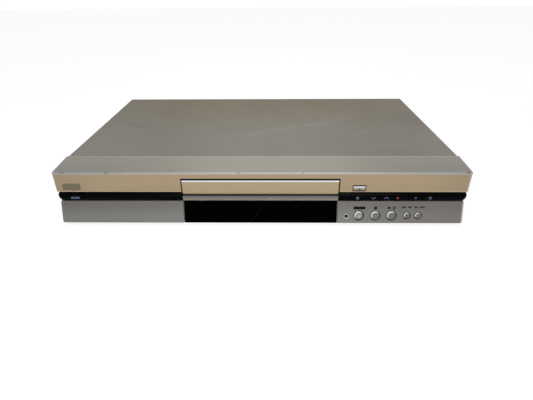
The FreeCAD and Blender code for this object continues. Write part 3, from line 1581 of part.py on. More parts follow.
def turntable():
    """The turntable on the motor's shaft: rotor cup, disc seat and centring cone."""
    low = base_z + base_t + 1.2
    cup = rod(door_mid, disc_y, low, turntable_r - 1.0, disc_seat_z - low - 0.8)
    seat = rod(door_mid, disc_y, disc_seat_z - 1.0, turntable_r, 1.0)
    cone = Part.makeCone(cone_r, cone_r - 1.6, cone_h, Vector(door_mid, disc_y, disc_seat_z))
    ring = tube(door_mid, disc_y, disc_seat_z - 0.35, turntable_r - 1.2, turntable_r - 2.2, 2)
    bore = rod(door_mid, disc_y, low - 1, spindle_r + run_gap, disc_seat_z - low + 1.5)
    return lowered(cut(join(cup, seat, cone), ring, bore))


def guide_rods():
    """The two polished rods that the sled runs on."""
    y = face_y + base_window_d0 - rod_seat_w + 2
    length = base_window_d1 - base_window_d0 + 2 * rod_seat_w - 4
    return [lowered(rod(door_mid + side * rod_x, y, rod_z, rod_r, length, Y)) for side in (-1, 1)]


def pickup_sled():
    """The sled: body on the rods, lens well, and the arm round the feed screw."""
    y0 = lens_y - sled_ahead
    y1 = y0 + sled_d
    x0 = door_mid - rod_x - 3
    x1 = door_mid + rod_x + 3
    low = base_z - 4.5
    body = box(x0 + 1, x1 - 1, y0, y1, low, rod_z - 0.6)
    runners = [box(x - 2.9, x + 2.9, y0 + 1, y1 - 1, low + 1, rod_z + rod_r - 0.3)
               for x in (door_mid - rod_x, door_mid + rod_x)]
    tower = along_z(rounded(door_mid - 14, door_mid + 14, y0, y1 - 2, 2), rod_z - 2, disc_seat_z - 2.6)
    arm = box(x1 - 2, door_mid + screw_x + 2.8, y0 + 7, y0 + 12, screw_z - 2.9, screw_z + 0.5)
    made = join(body, tower, arm, *runners)
    ways = [rod(door_mid + side * rod_x, y0 - 1, rod_z, rod_r + run_gap, sled_d + 2, Y) for side in (-1, 1)]
    well = rod(door_mid, lens_y, lens_low - lens_travel - hole_gap, lens_r + 1.3, 9)
    fork = rod(door_mid + screw_x, y0, screw_z, screw_r + 0.15, sled_d, Y)
    fork_open = box(door_mid + screw_x - screw_r - 0.15, door_mid + screw_x + screw_r + 0.15, y0, y1,
                    screw_z, screw_z + 6)
    return lowered(cut(made, *ways, well, fork, fork_open))


def lens_holder():
    """The lens in its moving ring, on thin springs not drawn apart."""
    ring = rod(door_mid, lens_y, lens_low, lens_r + 1.0, lens_ring_h)
    dome = Part.makeSphere(lens_r * 1.25, Vector(door_mid, lens_y, lens_low + lens_ring_h - lens_r * 0.75))
    dome = dome.common(rod(door_mid, lens_y, lens_low + 1, lens_r, 9))
    return lowered(join(ring, dome))


def feed_screw():
    """The feed screw: a ground rod with a helical groove between its two seats."""
    y0 = face_y + screw_seat_d - 3
    length = base_window_d1 + 1.5 - screw_seat_d + 3
    body = rod(0, 0, 0, screw_r, length)
    run = length - 2 * screw_plain
    helix = Part.makeHelix(sled_lead, run, screw_r)
    rim = screw_r + 0.1
    corners = [Vector(rim, 0, -screw_groove), Vector(rim, 0, screw_groove),
               Vector(screw_r - screw_groove, 0, 0)]
    profile = Part.makePolygon(corners + corners[:1])
    groove = Part.Wire(helix).makePipeShell([profile], True, True)
    groove.translate(Vector(0, 0, screw_plain))
    body = body.cut(groove)
    body.rotate(Vector(0, 0, 0), X, -90)
    body.translate(Vector(door_mid + screw_x, y0, screw_z))
    return lowered(body)


def feed_motor():
    """The small motor that turns the feed screw."""
    y0 = face_y + screw_seat_d - 3 - feed_motor_len
    can = rod(door_mid + screw_x, y0, screw_z, feed_motor_r, feed_motor_len - 0.6, Y)
    lug = box(door_mid + screw_x - 5.0, door_mid + screw_x - 3.0, face_y + screw_seat_d - 9,
              face_y + screw_seat_d, screw_z - 3.0, screw_z + 3.0)
    return lowered(join(can, lug))


def fan_frame():
    """The square fan housing with its motor seat and four struts, standing on the pan."""
    half = fan_size / 2
    body = along_y(rounded(fan_x - half, fan_x + half, fan_z - half, fan_z + half, 4), fan_y0, fan_y1)
    body = body.cut(rod(fan_x, fan_y0 - 1, fan_z, fan_bore_r, fan_d + 2, Y))
    corners = [rod(fan_x + sx * (half - 5), fan_y0 - 1, fan_z + sz * (half - 5), 2.0, fan_d + 2, Y)
               for sx in (-1, 1) for sz in (-1, 1)]
    body = body.cut(corners)
    seat = rod(fan_x, fan_y1 - 2.2, fan_z, fan_hub_r + 1, 2.2, Y)
    struts = []
    for degrees in (45, 135):
        bar = box(fan_x - half, fan_x + half, fan_y1 - 2.2, fan_y1 - 0.2, fan_z - 1.1, fan_z + 1.1)
        bar = turned(bar, Vector(fan_x, fan_y1, fan_z), Y, degrees)
        struts.append(bar.common(rod(fan_x, fan_y0, fan_z, fan_bore_r + 0.5, fan_d, Y)))
    axle = rod(fan_x, fan_y0 + 2, fan_z, fan_axle_r, fan_d - 3, Y)
    return join(body, seat, *struts, axle)


def fan_rotor():
    """The fan wheel: hub and pitched blades."""
    y0 = fan_y0 + 1.2
    y1 = fan_y1 - 2.6
    hub = rod(fan_x, y0, fan_z, fan_hub_r, y1 - y0, Y)
    middle = (y0 + y1) / 2
    blades = []
    for n in range(fan_blades):
        blade = box(fan_x - 6.5, fan_x + 6.5, middle - 0.6, middle + 0.6, fan_z + fan_hub_r - 2,
                    fan_z + fan_blade_r)
        blade = turned(blade, Vector(fan_x, middle, fan_z), Z, fan_pitch_deg)
        blades.append(turned(blade, Vector(fan_x, middle, fan_z), Y, 360 / fan_blades * n))
    wheel = join(hub, *blades).common(rod(fan_x, y0, fan_z, fan_blade_r, y1 - y0, Y))
    return wheel.cut(rod(fan_x, y0 + 0.6, fan_z, fan_axle_r + run_gap, fan_d, Y))


def ac_inlet():
    """The mains inlet: a two-lobed recess with two pins, behind a rounded flange."""
    y1 = face_y + panel_out_d
    flange = along_y(rounded(inlet_x - inlet_w / 2 - 2, inlet_x + inlet_w / 2 + 2,
                             inlet_z - inlet_h / 2 - 2,
                             inlet_z + inlet_h / 2 + 2, 3), y1, y1 + 1.6)
    body = along_y(rounded(inlet_x - inlet_w / 2, inlet_x + inlet_w / 2, inlet_z - inlet_h / 2,
                           inlet_z + inlet_h / 2, 1.5), y1 - inlet_d, y1 + 0.5)
    half = inlet_pin_pitch / 2
    mouth = y1 + 1.6 - inlet_depth
    lobes = [rod(inlet_x + side * half, mouth, inlet_z, inlet_lobe_r, inlet_depth + 1, Y) for side in (-1,
                                                                                                       1)]
    neck = box(inlet_x - half, inlet_x + half, mouth, y1 + 3, inlet_z - inlet_lobe_r,
               inlet_z + inlet_lobe_r)
    pins = [rod(inlet_x + side * half, mouth - 0.5, inlet_z, inlet_pin_r, inlet_pin_len + 0.5,
                Y) for side in (-1, 1)]
    return join(cut(join(flange, body), *lobes, neck), *pins)


def rear_jacks():
    """The socket blocks behind: three columns of round sockets, two picture sockets and one coaxial."""
    y1 = face_y + panel_in_d - 0.2
    y0 = y1 - jack_block_d
    base = floor_z + board_t
    made = []
    for x in jack_columns:
        block = box(x - jack_block_w / 2, x + jack_block_w / 2, y0, y1, base, jack_rows[2] + 6)
        pieces = [block]
        holes = []
        for z in jack_rows:
            sleeve, ways = sound_socket(x, y1 - 0.5, z, 1, sleeve_proud, panel_t + 0.2)
            pieces.append(sleeve)
            holes += ways
        made.append(cut(join(*pieces), *holes))
    for x in video_jack_x:
        low = base if x != coax_x else jack_rows[0] + 8
        half = video_jack_r + 1
        block = box(x - half, x + half, y0, y1, low, jack_rows[2] + 6)
        body, ways = video_socket(x, y1 - 0.5, jack_rows[2], 1, 0.8, panel_t + 0.2)
        made.append(cut(join(block, body), *ways))
    block = box(coax_x - jack_block_w / 2, coax_x + jack_block_w / 2, y0, y1, base, jack_rows[0] + 8)
    sleeve, ways = sound_socket(coax_x, y1 - 0.5, jack_rows[0], 1, sleeve_proud, panel_t + 0.2)
    made.append(cut(join(block, sleeve), *ways))
    return made


def tuner_module():
    """The tuner in its steel can, with two antenna sockets through the rear panel."""
    y1 = face_y + panel_in_d - 0.2
    base = floor_z + board_t
    half = tuner_w / 2
    can = along_z(rounded(antenna_x - half, antenna_x + half, y1 - tuner_deep, y1, 1), base, base + tuner_h)
    pieces = [can]
    for x in (-14, 0, 14):
        pieces.append(box(antenna_x + x - 4, antenna_x + x + 4, y1 - tuner_deep + 8, y1 - 12,
                          base + tuner_h - 0.5, base + tuner_h + 0.5))
    holes = []
    for z in antenna_z:
        reach = panel_t + 0.2 + antenna_proud
        pieces.append(rod(antenna_x, y1 - 0.5, z, antenna_r, reach + 0.5, Y))
        pieces.append(rod(antenna_x, y1 + panel_t + 0.4, z, antenna_collar_r, 2.0, Y))
        holes.append(rod(antenna_x, y1 + 3, z, antenna_bore_r, reach, Y))
    return cut(join(*pieces), *holes)


def main_board():
    """The main circuit board on its posts, with its chips, a finned cooler and two plugs."""
    top = floor_z + board_t
    corners = [(strip_x0, strip_front_d, 0), (main_x0, strip_front_d, 0), (main_x0, board_front_d, 2),
               (main_x1, board_front_d, 2), (main_x1, main_back_d, 2), (strip_x0, main_back_d, 2)]
    corners = [(x, face_y + back, radius) for x, back, radius in corners]
    pieces = [along_z(corners, floor_z, top)]
    wide_main = main_x1 - main_x0
    chips = [(main_x0 + share * wide_main, *rest) for share, *rest in main_chips]
    chips += [(strip_x0 + across, *rest) for across, *rest in strip_chips]
    for x, back, wide, deep, high in chips:
        pieces.append(box(x, x + wide, face_y + back, face_y + back + deep, top, top + high))
    x, back, wide, deep, high = chips[0]
    step = (wide - cooler_fin_t - 2) / (cooler_fins - 1)
    for n in range(cooler_fins):
        fin = x + 1 + n * step
        pieces.append(box(fin, fin + cooler_fin_t, face_y + back, face_y + back + deep,
                          top + high - 0.5, top + high + cooler_fin_h))
    return join(*pieces)


def on_power_board(share):
    """The X at a share of the power board's width."""
    return power_x0 + share * (power_x1 - power_x0)


def power_board():
    """The power board on its posts: coils, cooling plate, fuse and plugs."""
    top = floor_z + board_t
    sheet = rounded(power_x0, power_x1, face_y + board_front_d, face_y + power_back_d, 2)
    pieces = [along_z(sheet, floor_z, top)]
    for share, back, wide, deep, high in power_parts:
        x = on_power_board(share)
        pieces.append(box(x, x + wide, face_y + back, face_y + back + deep, top - 0.2, top + high))
    x = on_power_board(plate_share)
    y0 = face_y + plate_front_d
    y1 = face_y + plate_back_d
    pieces.append(box(x, x + 2, y0, y1, top - 0.2, top + plate_h))
    step = (y1 - y0 - plate_fin_t - 4) / (plate_fins - 1)
    for n in range(plate_fins):
        y = y0 + 2 + n * step
        pieces.append(box(x - plate_fin_out, x + 1, y, y + plate_fin_t, top - 0.2, top + plate_h))
    return join(*pieces)


def power_transformer():
    """The transformer: an iron core round its wound bobbin."""
    x = on_power_board(core_share)
    y = face_y + core_back_d
    base = floor_z + board_t
    window = core_w / 2 - core_leg
    core = box(x - core_w / 2, x + core_w / 2, y - core_deep / 2, y + core_deep / 2, base, base + core_h)
    core = core.cut(box(x - window, x + window, y - core_deep, y + core_deep, base + core_yoke,
                        base + core_h - core_yoke))
    half = window - bobbin_gap
    bobbin = along_z(rounded(x - half, x + half, y - bobbin_deep / 2, y + bobbin_deep / 2, 4),
                     base, base + core_h - core_yoke + 2)
    return join(core, bobbin)


def power_capacitors():
    """The power board's capacitors, each with a groove near its foot."""
    base = floor_z + board_t
    made = []
    for share, back, radius, high in capacitors:
        x = on_power_board(share)
        can = rod(x, face_y + back, base, radius, high)
        can = can.makeFillet(0.6, [edge for edge in can.Edges if edge.BoundBox.ZMin > base + high - 0.01])
        groove = Part.makeTorus(radius + 0.4, 0.8, Vector(x, face_y + back, base + 3.5), Z)
        made.append(can.cut(groove))
    return made


def write_parts():
    """Write every node."""
    os.makedirs("parts", exist_ok=True)
    single = {
        "top_cover": top_cover, "base_pan": base_pan, "rear_panel": rear_panel, "front_frame": front_frame,
        "upper_fascia": upper_fascia, "left_band": left_band, "right_band": right_band,
        "display_window": display_window, "control_panel": control_panel, "jack_panel": jack_panel,
        "ac_inlet": ac_inlet, "fan_frame": fan_frame, "upper_key_board": upper_key_board,
        "lower_key_board": lower_key_board, "display_tube": display_tube, "indicator_lens": indicator_lens,
        "main_board": main_board, "tuner_module": tuner_module, "power_board": power_board,
        "power_transformer": power_transformer, "drive_frame": drive_frame, "clamp_bridge": clamp_bridge,
        "loading_motor": loading_motor, "loading_belt": loading_belt, "disc_tray": disc_tray,
        "tray_door": tray_door, "tray_lip": tray_lip, "jack_flap": jack_flap,
        "open_close_button": open_close_button, "clamper": clamper, "turntable": turntable,
        "traverse_base": traverse_base, "spindle_motor": spindle_motor, "pickup_sled": pickup_sled,
        "feed_screw": feed_screw, "feed_motor": feed_motor, "lens_holder": lens_holder,
        "motor_pulley": motor_pulley, "pulley_gear": pulley_gear, "tray_drive_gear": tray_drive_gear,
        "fan_rotor": fan_rotor,
    }
    for node, make in single.items():
        save(node, make())
    grouped = {
        "feet": feet, "case_screws": case_screws, "front_jacks": front_jacks, "rear_jacks": rear_jacks,
        "key_switches": key_switches, "power_capacitors": power_capacitors, "guide_rods": guide_rods,
    }
    for node, make in grouped.items():
        save(node, *make())
    names = ("rec_mode_key", "channel_down_key", "channel_up_key", "rec_key", "erase_key", "timer_key")
    for name, x in zip(names, band_key_centres()):
        half = (band_key_pitch - band_key_split) / 2
        save(name, band_key(x - half, x + half - band_key_split / 2))
    save("power_key", band_key(power_key_x - power_key_w / 2, power_key_x + power_key_w / 2))
    large = ("live_pause_button", "stop_button", "play_button")
    for name, x in zip(large, large_button_x):
        save(name, round_button(x, large_button_r, button_dimple_r if x == large_button_x[0] else 0))
    for name, x in zip(("skip_back_button", "skip_forward_button"), small_button_x):
        save(name, round_button(x, small_button_r, 0))


write_parts()
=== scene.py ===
"""A slim home disc recorder: finishes, printed marks and fine pieces round its CAD frame.

Everything is in metres in the frame of the CAD part: +X to the right seen from the front, +Y to the
rear, +Z up, and the origin under the middle of the machine on the surface that it stands on.
"""

from __future__ import annotations

import json
import logging
import math
from dataclasses import dataclass, replace
from enum import Enum
from functools import reduce
from typing import Iterable, Sequence

import bmesh
import bpy
from mathutils import Matrix, Vector

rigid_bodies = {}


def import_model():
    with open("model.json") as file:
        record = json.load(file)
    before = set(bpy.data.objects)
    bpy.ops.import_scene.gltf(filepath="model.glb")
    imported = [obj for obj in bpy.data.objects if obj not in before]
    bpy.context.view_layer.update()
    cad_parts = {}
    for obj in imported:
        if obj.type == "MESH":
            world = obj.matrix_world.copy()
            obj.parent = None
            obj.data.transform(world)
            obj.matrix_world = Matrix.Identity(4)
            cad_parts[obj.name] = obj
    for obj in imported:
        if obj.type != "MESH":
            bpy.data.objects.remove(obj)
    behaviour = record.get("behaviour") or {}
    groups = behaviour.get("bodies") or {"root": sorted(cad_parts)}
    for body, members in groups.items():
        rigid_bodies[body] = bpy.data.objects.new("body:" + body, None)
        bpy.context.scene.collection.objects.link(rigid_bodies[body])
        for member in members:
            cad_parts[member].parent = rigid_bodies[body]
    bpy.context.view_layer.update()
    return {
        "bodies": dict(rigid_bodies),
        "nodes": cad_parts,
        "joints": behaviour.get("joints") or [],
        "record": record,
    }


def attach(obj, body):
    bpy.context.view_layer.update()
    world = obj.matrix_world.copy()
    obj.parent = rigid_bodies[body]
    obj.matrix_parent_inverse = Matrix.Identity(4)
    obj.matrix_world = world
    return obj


Colour = tuple[float, float, float]
Point = tuple[float, float]
Scalar = "Field | float"

MM = 0.001
FACE_Y = -0.134644
LEAN = math.radians(16.7)
LOWER_FOOT = Vector((0.0, FACE_Y - 0.007612, 0.004))
RIGHT = Vector((1, 0, 0))
REAR = Vector((0, 1, 0))
UP = Vector((0, 0, 1))
LEANING_UP = Vector((0, math.sin(LEAN), math.cos(LEAN)))
INK_HIGH = 0.04 * MM
INK_SUNK = 0.02 * MM
SMOOTH_BELOW = math.radians(35.0)
log = logging.getLogger("disc_recorder")


class Field:
    """One output of a node, with Python's operators; an expression on it adds Math nodes."""

    def __init__(self, tree: Tree, socket: bpy.types.NodeSocket) -> None:
        """Keep the tree and the output socket.

        Args:
            tree: The tree that the socket belongs to.
            socket: The output that the field stands for.
        """
        self.tree = tree
        self.socket = socket

    def maths(self, operation: str, *others: Scalar, first: bool = True) -> Field:
        """Add one Math node.

        Args:
            operation: The Math node's operation.
            others: The other operands.
            first: Whether this field is the first operand; if not, it is the last.

        Returns:
            The node's result.
        """
        operands = [self, *others] if first else [*others, self]
        node = self.tree.node("ShaderNodeMath", {"operation": operation}, dict(enumerate(operands)))
        return node["Value"]

    def __add__(self, other: Scalar) -> Field:
        """self + other."""
        return self.maths("ADD", other)

    def __radd__(self, other: Scalar) -> Field:
        """other + self."""
        return self.maths("ADD", other, first=False)

    def __sub__(self, other: Scalar) -> Field:
        """self - other."""
        return self.maths("SUBTRACT", other)

    def __rsub__(self, other: Scalar) -> Field:
        """other - self."""
        return self.maths("SUBTRACT", other, first=False)

    def __mul__(self, other: Scalar) -> Field:
        """self * other."""
        return self.maths("MULTIPLY", other)

    def __rmul__(self, other: Scalar) -> Field:
        """other * self."""
        return self.maths("MULTIPLY", other, first=False)

    def __truediv__(self, other: Scalar) -> Field:
        """self / other."""
        return self.maths("DIVIDE", other)

    def __rtruediv__(self, other: Scalar) -> Field:
        """other / self."""
        return self.maths("DIVIDE", other, first=False)

    def __pow__(self, other: Scalar) -> Field:
        """self ** other."""
        return self.maths("POWER", other)

    def __abs__(self) -> Field:
        """abs(self)."""
        return self.maths("ABSOLUTE")

    def smaller_of(self, other: Scalar) -> Field:
        """The smaller of the two values."""
        return self.maths("MINIMUM", other)

    def larger_of(self, other: Scalar) -> Field:
        """The larger of the two values."""
        return self.maths("MAXIMUM", other)

    def ramp(self, low: float, high: float) -> Field:
        """A smooth rise from 0 at low to 1 at high, or a fall where low is above high.

        Args:
            low: The value at which the result is 0.
            high: The value at which the result is 1.

        Returns:
            The smooth step, between 0 and 1.
        """
        inputs = {"Value": self, "From Min": min(low, high), "From Max": max(low, high)}
        inputs["To Min"] = 0.0 if low < high else 1.0
        inputs["To Max"] = 1.0 if low < high else 0.0
        return self.tree.node("ShaderNodeMapRange", {"interpolation_type": "SMOOTHSTEP"}, inputs)["Result"]

    def band(self, low: float, high: float, soft: float) -> Field:
        """1 between two values and 0 outside them.

        Args:
            low: The lower end.
            high: The upper end.
            soft: Half the width of each soft end.

        Returns:
            The mask, between 0 and 1.
        """
        return self.ramp(low - soft, low + soft) * self.ramp(high + soft, high - soft)


class Outputs:
    """The outputs of a node, found by name or by number."""

    def __init__(self, tree: Tree, node: bpy.types.Node) -> None:
        """Keep the tree and its node."""
        self.tree = tree
        self.made = node

    def __getitem__(self, key: str | int) -> Field:
        """The output of that name or number."""
        return Field(self.tree, self.made.outputs[key])


class Tree:
    """A shader or geometry tree that is built node by node."""

    def __init__(self, nodes: bpy.types.NodeTree) -> None:
        """Start with an empty tree."""
        self.tree = nodes
        self.tree.nodes.clear()

    @classmethod
    def of_material(cls, name: str) -> tuple[bpy.types.Material, Tree]:
        """Make a material.

        Args:
            name: The material's name.

        Returns:
            The material and its empty tree.
        """
        material = bpy.data.materials.new(name)
        material.use_nodes = True
        return material, cls(material.node_tree)

    def node(self, kind: str, settings: dict[str, object] | None = None,
             inputs: dict[str | int, object] | None = None) -> Outputs:
        """Add a node.

        Args:
            kind: The node's type, such as ShaderNodeMath.
            settings: Its properties, set before the inputs.
            inputs: Values or fields for its sockets, by name or number.

        Returns:
            The node's outputs.
        """
        made = self.tree.nodes.new(kind)
        for name, value in (settings or {}).items():
            setattr(made, name, value)
        for key, value in (inputs or {}).items():
            if isinstance(value, Field):
                self.tree.links.new(value.socket, made.inputs[key])
            else:
                made.inputs[key].default_value = value
        return Outputs(self, made)

    def mix(self, share: Scalar, first: Field | Colour, second: Field | Colour) -> Field:
        """Mix two colours.

        Args:
            share: How much of the second colour, 0 to 1.
            first: The colour at 0.
            second: The colour at 1.

        Returns:
            The mixed colour.
        """
        inputs = {0: share}
        for place, colour in ((6, first), (7, second)):
            inputs[place] = colour if isinstance(colour, Field) else (*colour, 1.0)
        return self.node("ShaderNodeMix", {"data_type": "RGBA"}, inputs)[2]

    def place(self) -> Field:
        """The surface point in the object's own coordinates, which are the frame's."""
        return self.node("ShaderNodeTexCoord")["Object"]

    def parts(self, vector: Field) -> tuple[Field, Field, Field]:
        """The X, Y and Z of a vector."""
        split = self.node("ShaderNodeSeparateXYZ", inputs={"Vector": vector})
        return split["X"], split["Y"], split["Z"]

    def stretched(self, vector: Field, scale: Sequence[float], turn: Sequence[float] = (0, 0, 0)) -> Field:
        """The vector turned and scaled by a Mapping node."""
        inputs = {"Vector": vector, "Rotation": turn, "Scale": scale}
        return self.node("ShaderNodeMapping", inputs=inputs)["Vector"]

    def cells(self, vector: Field, scale: float) -> Outputs:
        """A pattern of cells, read at the vector, at that scale per metre."""
        return self.node("ShaderNodeTexVoronoi", {"feature": "F1"}, {"Vector": vector, "Scale": scale})

    def noise(self, vector: Field, scale: float, detail: float = 2.0, rough: float = 0.5) -> Field:
        """A noise value of about 0.5 on average.

        Args:
            vector: Where to read it.
            scale: Its scale, per metre.
            detail: The number of finer layers.
            rough: How strong the finer layers are.

        Returns:
            The noise.
        """
        inputs = {"Vector": vector, "Scale": scale, "Detail": detail, "Roughness": rough}
        return self.node("ShaderNodeTexNoise", {"noise_dimensions": "3D"}, inputs)["Fac"]


def linear(red: int, green: int, blue: int) -> Colour:
    """A linear colour from the values that it shows on screen.

    Args:
        red: The red channel, 0 to 255.
        green: The green channel.
        blue: The blue channel.

    Returns:
        The three linear channels.
    """
    def one(value: int) -> float:
        """One channel."""
        share = value / 255
        return share / 12.92 if share <= 0.04045 else ((share + 0.055) / 1.055) ** 2.4
    return one(red), one(green), one(blue)


def any_of(masks: Iterable[Field]) -> Field:
    """The largest of several masks."""
    return reduce(Field.larger_of, masks)


@dataclass(frozen=True)
class Finish:
    """A surface finish; the subclasses change how it is painted, glossed or grained.

    The slot names the record's material slot for a new piece with this finish; it is not used.
    """

    name: str
    colour: Colour
    slot: str = ""
    roughness: float = 0.5
    metallic: float = 0.0
    specular: float = 0.5
    mottle: float = 0.03
    mottle_scale: float = 60.0
    smudge: float = 0.05
    smudge_scale: float = 25.0
    grain: float = 0.0
    grain_scale: float = 2500.0
    edge: float = 0.00025

    def make(self) -> bpy.types.Material:
        """Build the material.

        Returns:
            The material, under the finish's name.
        """
        material, tree = Tree.of_material(self.name)
        shader = tree.node("ShaderNodeBsdfPrincipled", inputs=self.inputs(tree, tree.place()))
        tree.node("ShaderNodeOutputMaterial", inputs={"Surface": shader["BSDF"]})
        material.diffuse_color = (*self.colour, 1.0)
        return material

    def inputs(self, tree: Tree, place: Field) -> dict[str, Scalar]:
        """What goes into the shader.

        Args:
            tree: The material's tree.
            place: The surface point.

        Returns:
            The values and fields by the name of their socket.
        """
        return {
            "Base Color": self.paint(tree, place),
            "Roughness": self.gloss(tree, place),
            "Metallic": self.metallic,
            "Specular IOR Level": self.specular,
            "Normal": self.relief(tree, place),
        }

    def dimmed(self, share: float) -> Colour:
        """The finish's colour at that share of its brightness."""
        return tuple(part * share for part in self.colour)

    def paint(self, tree: Tree, place: Field) -> Field:
        """The colour, a little uneven."""
        uneven = tree.noise(place, self.mottle_scale, 3.0)
        return tree.mix(uneven, self.dimmed(1 - 2 * self.mottle), self.colour)

    def gloss(self, tree: Tree, place: Field) -> Field:
        """The roughness, with faint smudges."""
        smear = tree.noise(place, self.smudge_scale, 4.0, 0.6) - 0.5
        return (smear * (2 * self.smudge) + self.roughness).larger_of(0.02)

    def relief(self, tree: Tree, place: Field) -> Field:
        """The normal, with softened edges and the grain of the surface.

        Args:
            tree: The material's tree.
            place: The surface point.

        Returns:
            The normal.
        """
        normal = tree.node("ShaderNodeBevel", {"samples": 4}, {"Radius": self.edge})["Normal"]
        if self.grain <= 0:
            return normal
        inputs = {"Height": self.texture(tree, place), "Distance": self.grain, "Normal": normal}
        return tree.node("ShaderNodeBump", inputs=inputs)["Normal"]

    def texture(self, tree: Tree, place: Field) -> Field:
        """The height of the grain, 0 to 1."""
        return tree.noise(place, self.grain_scale, 2.0)


@dataclass(frozen=True)
class Scuff:
    """A worn or marked spot: its middle, half sizes and turn, seen along one axis of the frame."""

    middle: Point
    half: Point
    turn_deg: float = 0.0

    def mask(self, across: Field, along: Field, ragged: Field) -> Field:
        """How much of the spot there is at a point.

        Args:
            across: The first coordinate.
            along: The second coordinate.
            ragged: A noise that breaks up the spot's edge.

        Returns:
            1 in the middle of the spot, 0 outside it.
        """
        turn = math.radians(self.turn_deg)
        shift_a = across - self.middle[0]
        shift_b = along - self.middle[1]
        a = (shift_a * math.cos(turn) + shift_b * math.sin(turn)) * (1 / self.half[0])
        b = (shift_b * math.cos(turn) - shift_a * math.sin(turn)) * (1 / self.half[1])
        return ((a * a + b * b) + ragged * 0.8).ramp(1.25, 0.5)


@dataclass(frozen=True)
class CoverPaint(Finish):
    """Satin paint on bent sheet steel, wiped pale in one long sweep and rubbed near its sides."""

    # painted shade: the darker, yellower colour that the top takes towards the rear
    rear: Colour = linear(116, 102, 70)
    dull: Colour = linear(112, 105, 93)
    film: Colour = linear(116, 124, 128)
    wiped: Colour = linear(152, 151, 147)
    worn: Colour = linear(104, 112, 116)
    sides: Colour = linear(148, 142, 130)
    top_z: Point = (0.0600, 0.0612)
    side_x: Point = (0.08, 0.21)
    rear_y: Point = (-0.09, 0.16)
    film_x: Point = (0.1, -0.1)
    film_y: Point = (0.05, -0.08)
    wipe: tuple[Scuff, ...] = (
        Scuff((-0.0060, -0.0235), (0.0300, 0.0090), 38),
        Scuff((0.0250, -0.0080), (0.0420, 0.0140), 20),
        Scuff((0.0750, 0.0130), (0.0440, 0.0120), 25),
        Scuff((0.1080, 0.0330), (0.0270, 0.0080), 38),
        Scuff((0.1230, -0.0230), (0.0400, 0.0045), 42),
    )
    rubs: tuple[Scuff, ...] = (
        Scuff((-0.1740, 0.0140), (0.0150, 0.0030)),
        Scuff((-0.1590, 0.0010), (0.0150, 0.0034)),
        Scuff((0.1830, 0.0088), (0.0075, 0.0016), 1),
        Scuff((0.1875, -0.0172), (0.0085, 0.0014), 2),
        Scuff((0.2060, -0.0719), (0.0009, 0.0009)),
    )

    def paint(self, tree: Tree, place: Field) -> Field:
        """The paint: darker and yellower towards the rear as painted shade, dusty, bluish in front, wiped and
        rubbed.

        Args:
            tree: The material's tree.
            place: The surface point.

        Returns:
            The colour.
        """
        across, along, high = tree.parts(place)
        top = high.ramp(*self.top_z)
        aside = abs(across).ramp(*self.side_x)
        plain = tree.mix(aside * 0.6, super().paint(tree, place), self.sides)
        # painted shade: darker and yellower towards the rear, less so near the sides
        rear_shaded = tree.mix(along.ramp(*self.rear_y) * top * (1.0 - aside * 0.5), plain, self.rear)
        dust = tree.noise(place, 9.0, 5.0, 0.65).ramp(0.45, 0.75)
        dusty = tree.mix(dust * top * 0.3, rear_shaded, self.dull)
        hazy = tree.noise(place, 55.0, 6.0, 0.75).ramp(0.46, 0.66) * along.ramp(*self.film_y)
        filmed = tree.mix(hazy * across.ramp(*self.film_x) * top * 0.35, dusty, self.film)
        ragged = tree.noise(place, 260.0, 5.0, 0.7)
        pale = any_of(scuff.mask(across, along, ragged) for scuff in self.wipe) * top
        rubbed = any_of(scuff.mask(across, along, ragged) for scuff in self.rubs) * top
        return tree.mix(rubbed * 0.9, tree.mix(pale * 0.22, filmed, self.wiped), self.worn)


